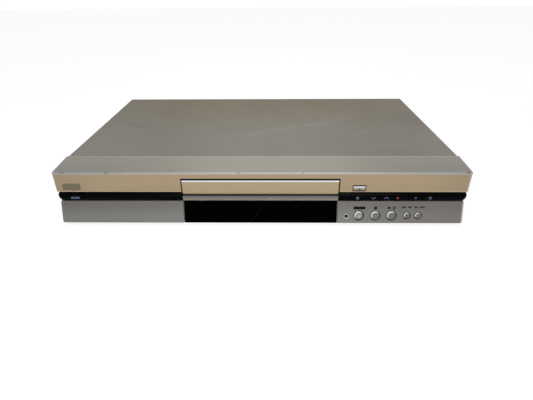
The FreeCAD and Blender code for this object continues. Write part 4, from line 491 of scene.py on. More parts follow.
@dataclass(frozen=True)
class ShelfPaint(Finish):
    """Silver paint on the front moulding, chipped along its front edge and marked on the shelf."""

    warm: Colour = linear(164, 157, 141)
    bare: Colour = linear(66, 68, 74)
    # painted highlight colour of the front edge, also used for two pale marks
    highlight_and_mark: Colour = linear(176, 186, 196)
    # painted highlight on the shelf's rear rim
    rim: Colour = linear(172, 175, 174)
    # painted shade: the darker colour towards the shelf's ends
    ends: Colour = linear(150, 147, 139)
    shade: Colour = linear(14, 14, 13)
    end_x: Point = (0.03, 0.20)
    warm_y: Point = (-0.126, -0.108)
    rear_highlight_y: Point = (-0.1001, -0.0993)
    top_z: Point = (0.0580, 0.0590)
    edge_y: Point = (-0.1332, -0.1339)
    edge_z: Point = (0.0588, 0.0600)
    chip_y: Point = (-0.1322, -0.1336)
    behind_y: Point = (-0.1328, -0.1322)
    under_z: Point = (0.0578, 0.0570)
    cheek_x: Point = (0.2092, 0.2090)
    cheek_y: Point = (-0.1260, -0.1264)
    chips: tuple[Point, ...] = (
        (-0.2039, 0.0030), (-0.1586, 0.0016), (0.2096, 0.0026), (-0.0226, 0.0012), (0.0430, 0.0012),
    )
    marks: tuple[Scuff, ...] = (
        Scuff((-0.1398, -0.1258), (0.0007, 0.0040)),
        Scuff((0.0926, -0.1199), (0.0012, 0.0034), 12),
    )
    speck: Scuff = Scuff((-0.0923, -0.1306), (0.0012, 0.0016))

    def paint(self, tree: Tree, place: Field) -> Field:
        """The paint, darker towards its ends as painted shade, with painted highlights on its rear rim and
        front edge, chips, a speck, two pale marks, and painted shade behind it.

        Args:
            tree: The material's tree.
            place: The surface point.

        Returns:
            The colour.
        """
        across, along, high = tree.parts(place)
        top = high.ramp(*self.top_z)
        # painted shade: darker towards the ends, away from the reflection in the middle
        plain = tree.mix(abs(across).ramp(*self.end_x), super().paint(tree, place), self.ends)
        base = tree.mix(along.ramp(*self.warm_y) * 0.5, plain, self.warm)
        # painted highlight: a light line along the rear rim
        rear_highlighted = tree.mix(along.ramp(*self.rear_highlight_y) * 0.55, base, self.rim)
        ragged = tree.noise(place, 900.0, 3.0, 0.6)
        # painted highlight: a thin bright line along the rounded front edge
        edge = along.ramp(*self.edge_y) * high.band(*self.edge_z, 0.0002) * 0.18
        bright = any_of(mark.mask(across, along, ragged) for mark in self.marks) * top * 0.5
        # the painted highlight on the edge and the two pale marks
        highlighted_and_marked = tree.mix(edge.larger_of(bright), rear_highlighted, self.highlight_and_mark)
        chipped = any_of(abs(across - middle).ramp(half, half * 0.6) for middle, half in self.chips)
        worn = chipped * along.ramp(*self.chip_y) * top * ragged.ramp(0.42, 0.50)
        speck = self.speck.mask(across, along, ragged) * top
        marked = tree.mix(worn.larger_of(speck) * 0.7, highlighted_and_marked, self.bare)
        # painted shade behind the front and under the shelf, apart from the outer side faces
        within = abs(across).ramp(*self.cheek_x).larger_of(along.ramp(*self.cheek_y))
        return tree.mix(along.ramp(*self.behind_y) * high.ramp(*self.under_z) * within, marked, self.shade)


@dataclass(frozen=True)
class ChampagnePlate(Finish):
    """Satin champagne metal with fine upright lines, the ghost of a label and painted shade at the door's
    edge.
    """

    ghost: Colour = linear(106, 101, 82)
    # painted highlight on the top edge and the right end
    crest: Colour = linear(196, 204, 212)
    # painted highlight on the lower edge
    lower: Colour = linear(196, 178, 148)
    # painted shade round the door's opening and behind the face
    shade: Colour = linear(12, 11, 10)
    dull: Colour = linear(132, 118, 98)
    face_y: float = -0.134244
    # where the painted shade towards the plate's ends starts and ends
    side_x: Point = (0.165, 0.212)
    end_x: Point = (0.2126, 0.2133)
    crest_z: Point = (0.05715, 0.05755)
    lower_z: Point = (0.0386, 0.0379)
    ghost_x: Point = (-0.2072, -0.1884)
    ghost_z: Point = (0.0389, 0.0468)
    opening_x: Point = (-0.0831, 0.0819)
    opening_top: Point = (0.0527, 0.0525)
    smear: Scuff = Scuff((0.1853, 0.0505), (0.0034, 0.0008), 6)

    def paint(self, tree: Tree, place: Field) -> Field:
        """The plate's colour, duller where the label's glue stayed, with painted shade towards its ends,
        painted highlights on its upper and lower edges and right end, and painted shade at the door.

        Args:
            tree: The material's tree.
            place: The surface point.

        Returns:
            The colour.
        """
        across, along, high = tree.parts(place)
        # painted shade: darker towards the ends
        plain = tree.mix(abs(across).ramp(*self.side_x), super().paint(tree, place), self.dimmed(0.87))
        # painted highlight: the top edge and the right end
        lit = (high.ramp(*self.crest_z) * 0.9).larger_of(across.ramp(*self.end_x) * 0.6)
        # painted highlights on the lower edge and, over it, on the top edge and right end
        base = tree.mix(lit, tree.mix(high.ramp(*self.lower_z), plain, self.lower), self.crest)
        fuzz = (tree.noise(place, 330.0, 4.0, 0.6) - 0.5) * 0.0034
        inside = (across + fuzz).band(*self.ghost_x, 0.0003) * (high + fuzz).band(*self.ghost_z, 0.0003)
        patchy = tree.noise(place, 420.0, 4.0, 0.6).ramp(0.30, 0.60)
        ghosted = tree.mix(inside * (patchy * 0.25 + 0.75), base, self.ghost)
        marked = tree.mix(self.smear.mask(across, high, patchy) * 0.7, ghosted, self.dull)
        # painted shade: a thin dark margin round the door's opening, and the faces behind the front
        line = across.band(*self.opening_x, 0.0001) * high.ramp(*self.opening_top)
        dark = line.larger_of(along.ramp(self.face_y + 0.0001, self.face_y + 0.0003))
        return tree.mix(dark, marked, self.shade)

    def texture(self, tree: Tree, place: Field) -> Field:
        """Fine upright lines."""
        return tree.noise(tree.stretched(place, (1.0, 1.0, 0.02)), self.grain_scale, 2.0)


@dataclass(frozen=True)
class DoorPlate(ChampagnePlate):
    """A champagne plate with a painted highlight on the bevel along its top, and painted shade on its top and
    on the faces behind its front.
    """

    face_y: float = -0.134844
    # painted highlight on the top bevel
    highlight_and_mark: Colour = linear(226, 232, 236)
    bevel_z: float = 0.04895
    top_z: float = 0.0504

    def paint(self, tree: Tree, place: Field) -> Field:
        """The plate's colour, with a painted highlight on the bevel and painted shade behind the front and on
        top.

        Args:
            tree: The material's tree.
            place: The surface point.

        Returns:
            The colour.
        """
        _, along, high = tree.parts(place)
        bevel = high.ramp(self.bevel_z, self.bevel_z + 0.0003)
        # painted highlight on the top bevel
        face = tree.mix(bevel, Finish.paint(self, tree, place), self.highlight_and_mark)
        # painted shade on the faces behind the front, so the gap over the door reads dark, and on top
        behind = along.ramp(self.face_y + 0.00005, self.face_y + 0.0002)
        above = high.ramp(self.top_z, self.top_z + 0.0005)
        return tree.mix(behind.larger_of(above * 0.7), face, self.shade)


@dataclass(frozen=True)
class KeyPlate(DoorPlate):
    """The open key's plate: a painted highlight above, champagne below, painted shade round its rim."""

    middle_x: float = 0.1017
    half_x: float = 0.0060
    foot_z: float = 0.0402

    def paint(self, tree: Tree, place: Field) -> Field:
        """The plate's colour, with painted shade on the rim.

        Args:
            tree: The material's tree.
            place: The surface point.

        Returns:
            The colour.
        """
        across, _, high = tree.parts(place)
        beside = abs(across - self.middle_x).ramp(self.half_x, self.half_x + 0.0003)
        rim = beside.larger_of(high.ramp(self.foot_z, self.foot_z - 0.0003))
        # painted shade round the rim, where the gap round the key falls in shade
        return tree.mix(rim * 0.85, super().paint(tree, place), self.shade)


@dataclass(frozen=True)
class LipSilver(Finish):
    """The tray's silver lip: painted shade under the door, a painted bluish highlight on its crest, and warm
    and pale below a darker middle band as painted shading of its round face, with one nick.
    """

    # painted shade in the groove under the door
    upper: Colour = linear(30, 34, 38)
    # painted highlight on the crest
    bright: Colour = linear(114, 120, 130)
    # painted shade on the middle band of the round face
    middle: Colour = linear(122, 117, 107)
    nick: Colour = linear(178, 186, 200)
    lower_z: Point = (0.0290, 0.0312)
    crest_z: Point = (0.0321, 0.0331)
    upper_z: Point = (0.0332, 0.0338)
    nick_z: Point = (0.0292, 0.0325)
    nick_middle: Point = (0.0096, 0.0308)

    def paint(self, tree: Tree, place: Field) -> Field:
        """The lip's bands of painted light and shade, from the groove down to its lower edge.

        Args:
            tree: The material's tree.
            place: The surface point.

        Returns:
            The colour.
        """
        across, _, high = tree.parts(place)
        # painted shade: darker on the middle band
        lower = tree.mix(high.ramp(*self.lower_z), super().paint(tree, place), self.middle)
        # painted highlight on the crest
        crest = tree.mix(high.band(*self.crest_z, 0.0004), lower, self.bright)
        # painted shade in the groove under the door
        lit_and_shaded = tree.mix(high.ramp(*self.upper_z), crest, self.upper)
        aside = abs(across - self.nick_middle[0] - (high - self.nick_middle[1]) * 0.5)
        nick = aside.ramp(0.0007, 0.0003) * high.band(*self.nick_z, 0.0003)
        return tree.mix(nick * 0.6, lit_and_shaded, self.nick)


@dataclass(frozen=True)
class PanelPaint(Finish):
    """Silver paint on the leaning lower front, with painted shade inside its holes and gaps."""

    # painted shade under the bead
    top: Colour = linear(104, 101, 96)
    # painted highlight on the rounded right end
    end_highlight: Colour = linear(200, 203, 202)
    right: Colour = linear(112, 109, 101)
    shade: Colour = linear(20, 20, 20)
    right_x: Point = (0.05, 0.15)
    end_highlight_x: Point = (0.2106, 0.2113)
    top_z: Point = (0.0100, 0.0230)

    def paint(self, tree: Tree, place: Field) -> Field:
        """The paint on the face, with painted shade under the bead, a painted highlight on its right end, and
        painted shade behind it.

        Args:
            tree: The material's tree.
            place: The surface point.

        Returns:
            The colour.
        """
        across, along, high = tree.parts(place)
        sided = tree.mix(across.ramp(*self.right_x) * 0.8, super().paint(tree, place), self.right)
        # painted shade: darker towards the top, under the bead
        plain = tree.mix(high.ramp(*self.top_z), sided, self.top)
        # painted highlight on the right end
        base = tree.mix(across.ramp(*self.end_highlight_x) * 0.8, plain, self.end_highlight)
        out = (LOWER_FOOT.y - along) * math.cos(LEAN) + (high - LOWER_FOOT.z) * math.sin(LEAN)
        # painted shade on everything behind the face, in the holes and gaps
        return tree.mix(out.ramp(-0.00003, -0.0002), base, self.shade)


@dataclass(frozen=True)
class ButtonPlating(Finish):
    """Plated plastic on a domed button: a warm face in a rim with a painted highlight at its upper left and
    painted shade at its lower right.
    """

    middle: float = 0.0
    run: float = 0.00846
    radius: float = 0.0050
    light: Point = (-0.66, 0.75)
    # painted highlight on the rim's upper left
    rim: Colour = linear(232, 240, 250)
    # painted shade on the rim's lower right
    low: Colour = linear(84, 76, 66)
    inner: Colour = linear(146, 154, 164)
    centre: Colour = linear(180, 160, 112)
    lit_middle: bool = False

    def paint(self, tree: Tree, place: Field) -> Field:
        """The face, its rim with its painted highlight and shade, and, on one button, the ring and the lit
        middle.

        Args:
            tree: The material's tree.
            place: The surface point.

        Returns:
            The colour.
        """
        across, along, high = tree.parts(place)
        up = (high - LOWER_FOOT.z) * math.cos(LEAN) + (along - LOWER_FOOT.y) * math.sin(LEAN)
        a = (across - self.middle) * (1 / self.radius)
        b = (up - self.run) * (1 / self.radius)
        reach = (a * a + b * b) ** 0.5
        toward = ((a * self.light[0] + b * self.light[1]) / reach.larger_of(0.05)).ramp(-0.45, 0.9)
        # painted highlight towards the light at the upper left, painted shade away from it
        rim = tree.mix(toward, self.low, self.rim)
        face = tree.mix(reach.ramp(0.66, 0.82), super().paint(tree, place), rim)
        if not self.lit_middle:
            return face
        ringed = tree.mix(reach.band(0.34, 0.50, 0.06), face, self.inner)
        return tree.mix(reach.ramp(0.30, 0.20), ringed, self.centre)


@dataclass(frozen=True)
class GlossBlack(Finish):
    """Polished black plastic with hairline scratches and fingerprints."""

    hairline: float = 0.105

    def gloss(self, tree: Tree, place: Field) -> Field:
        """The roughness: low, rising in the hairlines and the dull patches.

        Args:
            tree: The material's tree.
            place: The surface point.

        Returns:
            The roughness.
        """
        dull = tree.noise(place, 40.0, 5.0, 0.6).ramp(0.50, 0.85) * 0.10
        line = tree.noise(tree.stretched(place, (1.0, 1.0, 22.0), (0.3, 0.5, 0.7)), 90.0, 2.0)
        return (dull + line.ramp(0.66, 0.70) * self.hairline + self.roughness).smaller_of(0.9)


@dataclass(frozen=True)
class ScratchedWindow(GlossBlack):
    """The black display window, with one long scratch."""

    start: Point = (-0.0113, 0.0051)
    end: Point = (0.0011, 0.0194)
    scratch: Colour = linear(46, 46, 45)

    def paint(self, tree: Tree, place: Field) -> Field:
        """Black, with the pale line of the scratch.

        Args:
            tree: The material's tree.
            place: The surface point.

        Returns:
            The colour.
        """
        across, _, high = tree.parts(place)
        run = Vector((self.end[0] - self.start[0], self.end[1] - self.start[1]))
        unit = run.normalized()
        shift_a = across - self.start[0]
        shift_b = high - self.start[1]
        along = shift_a * unit.x + shift_b * unit.y
        aside = abs(shift_b * unit.x - shift_a * unit.y + (tree.noise(place, 300.0) - 0.5) * 0.0006)
        within = along.ramp(0.0, 0.001) * along.ramp(run.length, run.length - 0.001)
        line = aside.ramp(0.00022, 0.00008) * within * tree.noise(place, 1500.0).ramp(0.35, 0.6)
        return tree.mix(line, super().paint(tree, place), self.scratch)


@dataclass(frozen=True)
class BrushedSheet(Finish):
    """Zinc-plated sheet steel with its faint crystal pattern."""

    def paint(self, tree: Tree, place: Field) -> Field:
        """Patches of slightly different grey, as on zinc."""
        share, _, _ = tree.parts(tree.cells(place, 130.0)["Color"])
        return tree.mix(share, self.dimmed(0.86), self.colour)


@dataclass(frozen=True)
class Transformer(Finish):
    """A laminated core with a taped winding through it."""

    tape: Colour = linear(190, 148, 44)
    middle_y: float = 0.01536
    half_core: float = 0.0111
    sheet: float = 0.0005

    def paint(self, tree: Tree, place: Field) -> Field:
        """Thin sheets edge on, and tape where the winding stands out of the core.

        Args:
            tree: The material's tree.
            place: The surface point.

        Returns:
            The colour.
        """
        _, along, _ = tree.parts(place)
        seams = (along * (1 / self.sheet)).maths("FRACT").band(0.0, 0.3, 0.05)
        core = tree.mix(seams, super().paint(tree, place), self.dimmed(0.45))
        taped = abs(along - self.middle_y).ramp(self.half_core, self.half_core + 0.0001)
        return tree.mix(taped, core, self.tape)


@dataclass(frozen=True)
class Region:
    """A part of a board's plan, in millimetres, with the colour of what stands on it."""

    x: Point
    y: Point
    colour: Colour
    above: float = 0.0

    def mask(self, across: Field, along: Field, high: Field, top: float) -> Field:
        """Where the region's pieces are.

        Args:
            across: X.
            along: Y.
            high: Z.
            top: The height of the board's upper face.

        Returns:
            1 on what stands in the region, 0 elsewhere.
        """
        inside = across.band(self.x[0] * MM, self.x[1] * MM, 0.2 * MM)
        inside = inside * along.band(self.y[0] * MM, self.y[1] * MM, 0.2 * MM)
        foot = top + self.above * MM
        return inside * high.ramp(foot + 0.15 * MM, foot + 0.3 * MM)


@dataclass(frozen=True)
class Board(Finish):
    """A circuit board: green lacquer over copper tracks and pads."""

    track: Colour = linear(44, 104, 62)
    pad: Colour = linear(150, 150, 138)

    def paint(self, tree: Tree, place: Field) -> Field:
        """Lacquer with tracks along two directions, and scattered pads.

        Args:
            tree: The material's tree.
            place: The surface point.

        Returns:
            The colour.
        """
        lane = tree.noise(tree.stretched(place, (1.0, 12.0, 1.0)), 140.0, 0.0).ramp(0.50, 0.53)
        other = tree.noise(tree.stretched(place, (14.0, 1.0, 1.0)), 110.0, 0.0).ramp(0.54, 0.57)
        lacquer = tree.mix(lane.larger_of(other), self.colour, self.track)
        return tree.mix(tree.cells(place, 190.0)["Distance"].ramp(0.15, 0.11), lacquer, self.pad)


@dataclass(frozen=True)
class StockedBoard(Board):
    """A board with the chips, plugs and coolers that stand on it."""

    raised: Colour = linear(36, 36, 38)
    top: float = 0.0116
    regions: tuple[Region, ...] = ()

    def paint(self, tree: Tree, place: Field) -> Field:
        """The board, and the colours of what stands on it.

        Args:
            tree: The material's tree.
            place: The surface point.

        Returns:
            The colour.
        """
        across, along, high = tree.parts(place)
        standing = high.ramp(self.top + 0.0001, self.top + 0.0003)
        colour = tree.mix(standing, super().paint(tree, place), self.raised)
        for region in self.regions:
            colour = tree.mix(region.mask(across, along, high, self.top), colour, region.colour)
        return colour


@dataclass(frozen=True)
class Sockets(Finish):
    """Plated sleeves on black plastic blocks; the blocks are the part behind the sheet that holds them."""

    sheet_y: float = 0.1315
    outward: float = 1.0
    block: Colour = linear(26, 26, 28)

    def behind(self, tree: Tree, place: Field) -> Field:
        """1 behind the sheet, 0 in front of it."""
        _, along, _ = tree.parts(place)
        return ((along - self.sheet_y) * self.outward).ramp(0.0001, -0.0001)

    def paint(self, tree: Tree, place: Field) -> Field:
        """Plating in front of the sheet and black plastic behind it."""
        return tree.mix(self.behind(tree, place), super().paint(tree, place), self.block)

    def gloss(self, tree: Tree, place: Field) -> Field:
        """Smoother on the plating than on the plastic."""
        return super().gloss(tree, place) + self.behind(tree, place) * 0.3


@dataclass(frozen=True)
class ClearPlastic(Finish):
    """Clear or smoked plastic or glass."""

    clarity: float = 0.9
    ior: float = 1.49

    def inputs(self, tree: Tree, place: Field) -> dict[str, Scalar]:
        """What goes into the see-through shader.

        Args:
            tree: The material's tree.
            place: The surface point.

        Returns:
            The values and fields by the name of their socket.
        """
        return {
            "Base Color": self.paint(tree, place),
            "Roughness": self.gloss(tree, place),
            "Transmission Weight": self.clarity,
            "IOR": self.ior,
        }


@dataclass(frozen=True)
class Plane:
    """A flat place on the machine: its origin, its right, its up and, from those, its outward side."""

    origin: Vector
    right: Vector
    up: Vector

    @property
    def out(self) -> Vector:
        """The direction away from the surface."""
        return self.right.cross(self.up)

    def at(self, across: float, above: float, out: float = 0.0) -> Vector:
        """A point of the plane, or in front of it."""
        return self.origin + self.right * across + self.up * above + self.out * out


class Solid:
    """A mesh being built from closed forms."""

    def __init__(self) -> None:
        """Start empty."""
        self.bm = bmesh.new()

    def face_loops(self, loops: Sequence[Sequence[Vector]], closed: bool = False) -> None:
        """Join rings of equal length with quads.

        Args:
            loops: The rings, each a list of points.
            closed: Whether the last ring joins the first; if not, the ends get caps.
        """
        rings = [[self.bm.verts.new(point) for point in loop] for loop in loops]
        count = len(rings[0])
        pairs = list(zip(rings, rings[1:])) + ([(rings[-1], rings[0])] if closed else [])
        for low, high in pairs:
            for n in range(count):
                self.bm.faces.new((low[n], low[(n + 1) % count], high[(n + 1) % count], high[n]))
        if not closed:
            self.bm.faces.new(tuple(reversed(rings[0])))
            self.bm.faces.new(rings[-1])

    def prism(self, plane: Plane, outline: Sequence[Point], proud: float, sunk: float = 0.0) -> None:
        """A flat plate of any outline that stands on a plane.

        Args:
            plane: Where it stands.
            outline: Its corners in the plane, counter-clockwise.
            proud: How far it stands in front of the plane.
            sunk: How far it reaches behind the plane.
        """
        self.face_loops([[plane.at(a, b, out) for a, b in outline] for out in (-sunk, proud)])

    def frame(self, plane: Plane, outer: Sequence[Point], inner: Sequence[Point], proud: float,
              sunk: float = 0.0) -> None:
        """A flat ring between two outlines with the same number of corners.

        Args:
            plane: Where it stands.
            outer: The outline round it.
            inner: The outline of its opening.
            proud: How far it stands in front of the plane.
            sunk: How far it reaches behind the plane.
        """
        rings = ((outer, -sunk), (outer, proud), (inner, proud), (inner, -sunk))
        self.face_loops([[plane.at(a, b, out) for a, b in outline] for outline, out in rings], closed=True)

    def lathe(self, centre: Vector, axis: Vector, profile: Sequence[Point], steps: int = 32,
              hollow: bool = False) -> None:
        """A turned form.

        Args:
            centre: A point on the axis.
            axis: The axis.
            profile: Radius and height of each ring, from the low end to the high one.
            steps: The number of sides.
            hollow: Whether the profile is a closed loop round the axis, as a ring's is.
        """
        along = axis.normalized()
        side = axis.orthogonal().normalized()
        other = along.cross(side)
        angles = [2 * math.pi * n / steps for n in range(steps)]
        spokes = [side * math.cos(angle) + other * math.sin(angle) for angle in angles]
        self.face_loops([[centre + along * height + spoke * radius for spoke in spokes]
                         for radius, height in profile], closed=hollow)

    def block(self, low: Vector, high: Vector) -> None:
        """A box between two corners."""
        wide, deep, tall = high - low
        self.prism(Plane(low, RIGHT, REAR), [(0, 0), (wide, 0), (wide, deep), (0, deep)], tall)

    def finish(self, name: str) -> bpy.types.Object:
        """Make the object.

        Args:
            name: The object's name.

        Returns:
            The new object, at the origin and unturned.
        """
        bmesh.ops.remove_doubles(self.bm, verts=self.bm.verts, dist=1e-8)
        bmesh.ops.recalc_face_normals(self.bm, faces=self.bm.faces)
        mesh = bpy.data.meshes.new(name)
        self.bm.to_mesh(mesh)
        self.bm.free()
        shade(mesh)
        return linked(name, mesh)


def linked(name: str, data: bpy.types.ID) -> bpy.types.Object:
    """Put an object in the scene.

    Args:
        name: The object's name.
        data: Its mesh, lamp or camera.

    Returns:
        The object.
    """
    made = bpy.data.objects.new(name, data)
    bpy.context.scene.collection.objects.link(made)
    return made


def shade(mesh: bpy.types.Mesh) -> None:
    """Shade a mesh smooth, apart from its sharp edges."""
    mesh.shade_smooth()
    mesh.set_sharp_from_angle(angle=SMOOTH_BELOW)


def circle(radius: float, steps: int = 32, middle: Point = (0.0, 0.0), start_deg: float = 0.0,
           sweep_deg: float = 360.0) -> list[Point]:
    """Points on a circle or an arc, counter-clockwise.

    Args:
        radius: The radius.
        steps: The number of points.
        middle: The centre.
        start_deg: The angle of the first point.
        sweep_deg: The angle that the points cover.

    Returns:
        The points; the last one of an arc is its end.
    """
    spread = steps if sweep_deg >= 360 else steps - 1
    angles = [math.radians(start_deg + sweep_deg * n / spread) for n in range(steps)]
    return [(middle[0] + radius * math.cos(a), middle[1] + radius * math.sin(a)) for a in angles]


def rounded(wide: float, high: float, radius: float, middle: Point = (0.0, 0.0),
            steps: int = 5) -> list[Point]:
    """A rectangle with round corners.

    Args:
        wide: Its width.
        high: Its height.
        radius: The radius of its corners.
        middle: Its middle.
        steps: The number of points at each corner.

    Returns:
        The points, counter-clockwise.
    """
    made: list[Point] = []
    for sign_a, sign_b, start in ((1, 1, 0), (-1, 1, 90), (-1, -1, 180), (1, -1, 270)):
        corner = (middle[0] + sign_a * (wide / 2 - radius), middle[1] + sign_b * (high / 2 - radius))
        made += circle(radius, steps, corner, start, 90)
    return made


def stroke(path: Sequence[Point], width: float) -> list[Point]:
    """The outline of a line of constant width along a path.

    Args:
        path: The line's points.
        width: Its width.

    Returns:
        The outline, counter-clockwise.
    """
    left: list[Point] = []
    right: list[Point] = []
    points = [Vector(point) for point in path]
    for n, point in enumerate(points):
        before = (point - points[n - 1]).normalized() if n else None
        after = (points[n + 1] - point).normalized() if n + 1 < len(points) else None
        along = (before + after).normalized() if before and after else (before or after)
        reach = width / 2 / max(0.3, along.dot(after or before))
        side = Vector((-along.y, along.x)) * reach
        left.append(tuple(point + side))
        right.append(tuple(point - side))
    return right + left[::-1]


def mirrored(shapes: Iterable[Sequence[Point]]) -> list[list[Point]]:
    """Outlines mirrored left to right, still counter-clockwise."""
    return [[(-across, above) for across, above in reversed(shape)] for shape in shapes]


class Icon(Enum):
    """The plain signs printed on the machine."""

    PLAY = "play"
    STOP = "stop"
    PAUSE = "pause"
    BACK = "back"
    FORWARD = "forward"
    EJECT = "eject"
    POWER = "power"
    UP = "up"
    DOWN = "down"
    DOT = "dot"
    RING_DOT = "ring_dot"
    CROSS = "cross"
    CLOCK = "clock"
    PULL = "pull"
    LABEL = "label"
    SEEK = "seek"
    SEEK_BACK = "seek_back"
    RISE = "rise"

    def shapes(self, size: float) -> list[list[Point]]:
        """The outlines that make the sign.

        Args:
            size: Its height.

        Returns:
            Counter-clockwise outlines round the sign's middle.
        """
        h = size / 2
        line = size * 0.13
        match self:
            case Icon.PLAY:
                return [[(-0.8 * h, -h), (h, 0), (-0.8 * h, h)]]
            case Icon.STOP:
                return [rounded(1.7 * h, 1.7 * h, 0.1 * h)]
            case Icon.PAUSE:
                return [rounded(0.5 * h, 1.8 * h, 0.05 * h, (side * 0.5 * h, 0)) for side in (-1, 1)]
            case Icon.BACK:
                return mirrored(Icon.FORWARD.shapes(size))
            case Icon.FORWARD:
                first = [(-1.5 * h, -h), (-0.1 * h, 0), (-1.5 * h, h)]
                second = [(-0.1 * h, -h), (1.3 * h, 0), (-0.1 * h, h)]
                return [first, second, rounded(0.3 * h, 2 * h, 0.03 * h, (1.5 * h, 0))]
            case Icon.EJECT:
                return [[(-1.1 * h, -0.25 * h), (1.1 * h, -0.25 * h), (0, h)],
                        rounded(2.2 * h, 0.36 * h, 0.04 * h, (0, -0.8 * h))]
            case Icon.POWER:
                ring = circle(0.85 * h, 22, (0, -0.1 * h), 125, 290)
                return [stroke(ring, line), stroke([(0, 0), (0, h)], line)]
            case Icon.UP | Icon.DOWN:
                tip = 0.8 * h if self is Icon.UP else -0.8 * h
                return [stroke([(-1.9 * h, -tip), (0, tip), (1.9 * h, -tip)], line * 1.1)]
            case Icon.DOT:
                return [circle(0.9 * h, 28)]
            case Icon.RING_DOT:
                return [stroke(circle(h, 28, sweep_deg=359.9), line), circle(0.42 * h, 20)]
            case Icon.CROSS:
                return [stroke([(-0.8 * h, -0.8 * h), (0.8 * h, 0.8 * h)], line),
                        stroke([(-0.8 * h, 0.8 * h), (0.8 * h, -0.8 * h)], line)]
            case Icon.CLOCK:
                hands = [(0, 0.6 * h), (0, 0), (0.5 * h, 0)]
                return [stroke(circle(h, 28, sweep_deg=359.9), line), stroke(hands, line)]
            case Icon.LABEL:
                return [rounded(4.1 * size, size, 0.4 * h)]
            case Icon.SEEK:
                return [[(shift - 1.2 * h, -h), (shift + 0.1 * h, 0), (shift - 1.2 * h, h)]
                        for shift in (0, 1.4 * h)]
            case Icon.SEEK_BACK:
                return mirrored(Icon.SEEK.shapes(size))
            case Icon.RISE | Icon.PULL:
                tip = 0.7 * h if self is Icon.RISE else -0.7 * h
                foot = -0.5 * h if self is Icon.RISE else 0.5 * h
                return [[(tip, foot), (0, tip), (-tip, foot)]]


def printed(name: str, marks: Iterable[tuple[Icon, Plane, float]], ink: float = INK_HIGH) -> bpy.types.Object:
    """Make printed signs as one thin mesh.

    Args:
        name: The piece's name.
        marks: The signs, each with the plane whose origin is its middle, and its height.
        ink: The thickness of the print.

    Returns:
        The piece.
    """
    solid = Solid()
    for icon, plane, size in marks:
        for shape in icon.shapes(size):
            solid.prism(plane, shape, ink, INK_SUNK)
    return solid.finish(name)


class Repeater:
    """A Geometry Nodes tree with named inputs that ends in one real mesh of many copies."""

    def __init__(self, name: str, inputs: dict[str, str]) -> None:
        """Start the tree.

        Args:
            name: The tree's name.
            inputs: The type of each named input, besides its geometry and its finish.
        """
        self.group = bpy.data.node_groups.new(name, "GeometryNodeTree")
        sockets = {"Geometry": "NodeSocketGeometry", **inputs, "Finish": "NodeSocketMaterial"}
        for label, kind in sockets.items():
            self.group.interface.new_socket(name=label, in_out="INPUT", socket_type=kind)
        self.group.interface.new_socket(name="Geometry", in_out="OUTPUT", socket_type="NodeSocketGeometry")
        self.tree = Tree(self.group)
        self.given = self.tree.node("NodeGroupInput")

    def node(self, kind: str, settings: dict[str, object] | None = None,
             inputs: dict[str | int, object] | None = None) -> Outputs:
        """Add a node to the tree."""
        return self.tree.node(kind, settings, inputs)

    def form(self) -> Field:
        """The small form that is repeated, from the input Form."""
        inputs = {"Object": self.given["Form"]}
        return self.node("GeometryNodeObjectInfo", {"transform_space": "ORIGINAL"}, inputs)["Geometry"]

    def turned(self, about_z: Scalar) -> Field:
        """A turn about Z, in radians."""
        euler = self.node("ShaderNodeCombineXYZ", inputs={"Z": about_z})["Vector"]
        return self.node("FunctionNodeEulerToRotation", inputs={"Euler": euler})["Rotation"]

    def end(self, copies: Field) -> None:
        """Make the copies real, give them their finish and end the tree.

        Args:
            copies: The instances or the mesh.
        """
        real = self.node("GeometryNodeRealizeInstances", inputs={"Geometry": copies})["Geometry"]
        inputs = {"Geometry": real, "Material": self.given["Finish"]}
        dressed = self.node("GeometryNodeSetMaterial", inputs=inputs)["Geometry"]
        self.node("NodeGroupOutput", inputs={"Geometry": dressed})

    def run(self, name: str, host: bpy.types.Object, finish: bpy.types.Material,
            **values: object) -> bpy.types.Object:
        """Run the tree on a host and keep the result.

        Args:
            name: The new piece's name.
            host: The object whose mesh goes into the tree; it is removed afterwards.
            finish: The material of the result.
            values: The values of the named inputs.

        Returns:
            The piece, a plain mesh at the origin.
        """
        modifier = host.modifiers.new(name, "NODES")
        modifier.node_group = self.group
        values["Finish"] = finish
        for item in self.group.interface.items_tree:
            if item.in_out == "INPUT" and item.name in values:
                modifier[item.identifier] = values[item.name]
        evaluated = host.evaluated_get(bpy.context.evaluated_depsgraph_get())
        mesh = bpy.data.meshes.new_from_object(evaluated)
        host.modifiers.remove(modifier)
        bpy.data.objects.remove(host)
        form = values.get("Form")
        if form is not None:
            bpy.data.objects.remove(form)
        mesh.name = name
        shade(mesh)
        log.info("%s has %d faces", name, len(mesh.polygons))
        return linked(name, mesh)


def lines_host(name: str, lines: Sequence[tuple[Vector, Vector]]) -> bpy.types.Object:
    """Make loose edges for a tree to work on.

    Args:
        name: The host's name.
        lines: The two ends of each edge.

    Returns:
        The host.
    """
    mesh = bpy.data.meshes.new(name)
    ends = [end for line in lines for end in line]
    mesh.from_pydata(ends, [(2 * n, 2 * n + 1) for n in range(len(lines))], [])
    return linked(name, mesh)


def patches_host(name: str, patches: Sequence[Sequence[float]], high: float) -> bpy.types.Object:
    """Make level rectangles for a tree to work on.

    Args:
        name: The host's name.
        patches: The x and y of two opposite corners of each.
        high: Their height.

    Returns:
        The host.
    """
    mesh = bpy.data.meshes.new(name)
    corners = [(x, y, high) for x0, y0, x1, y1 in patches
               for x, y in ((x0, y0), (x1, y0), (x1, y1), (x0, y1))]
    mesh.from_pydata(corners, [], [tuple(range(4 * n, 4 * n + 4)) for n in range(len(patches))])
    return linked(name, mesh)


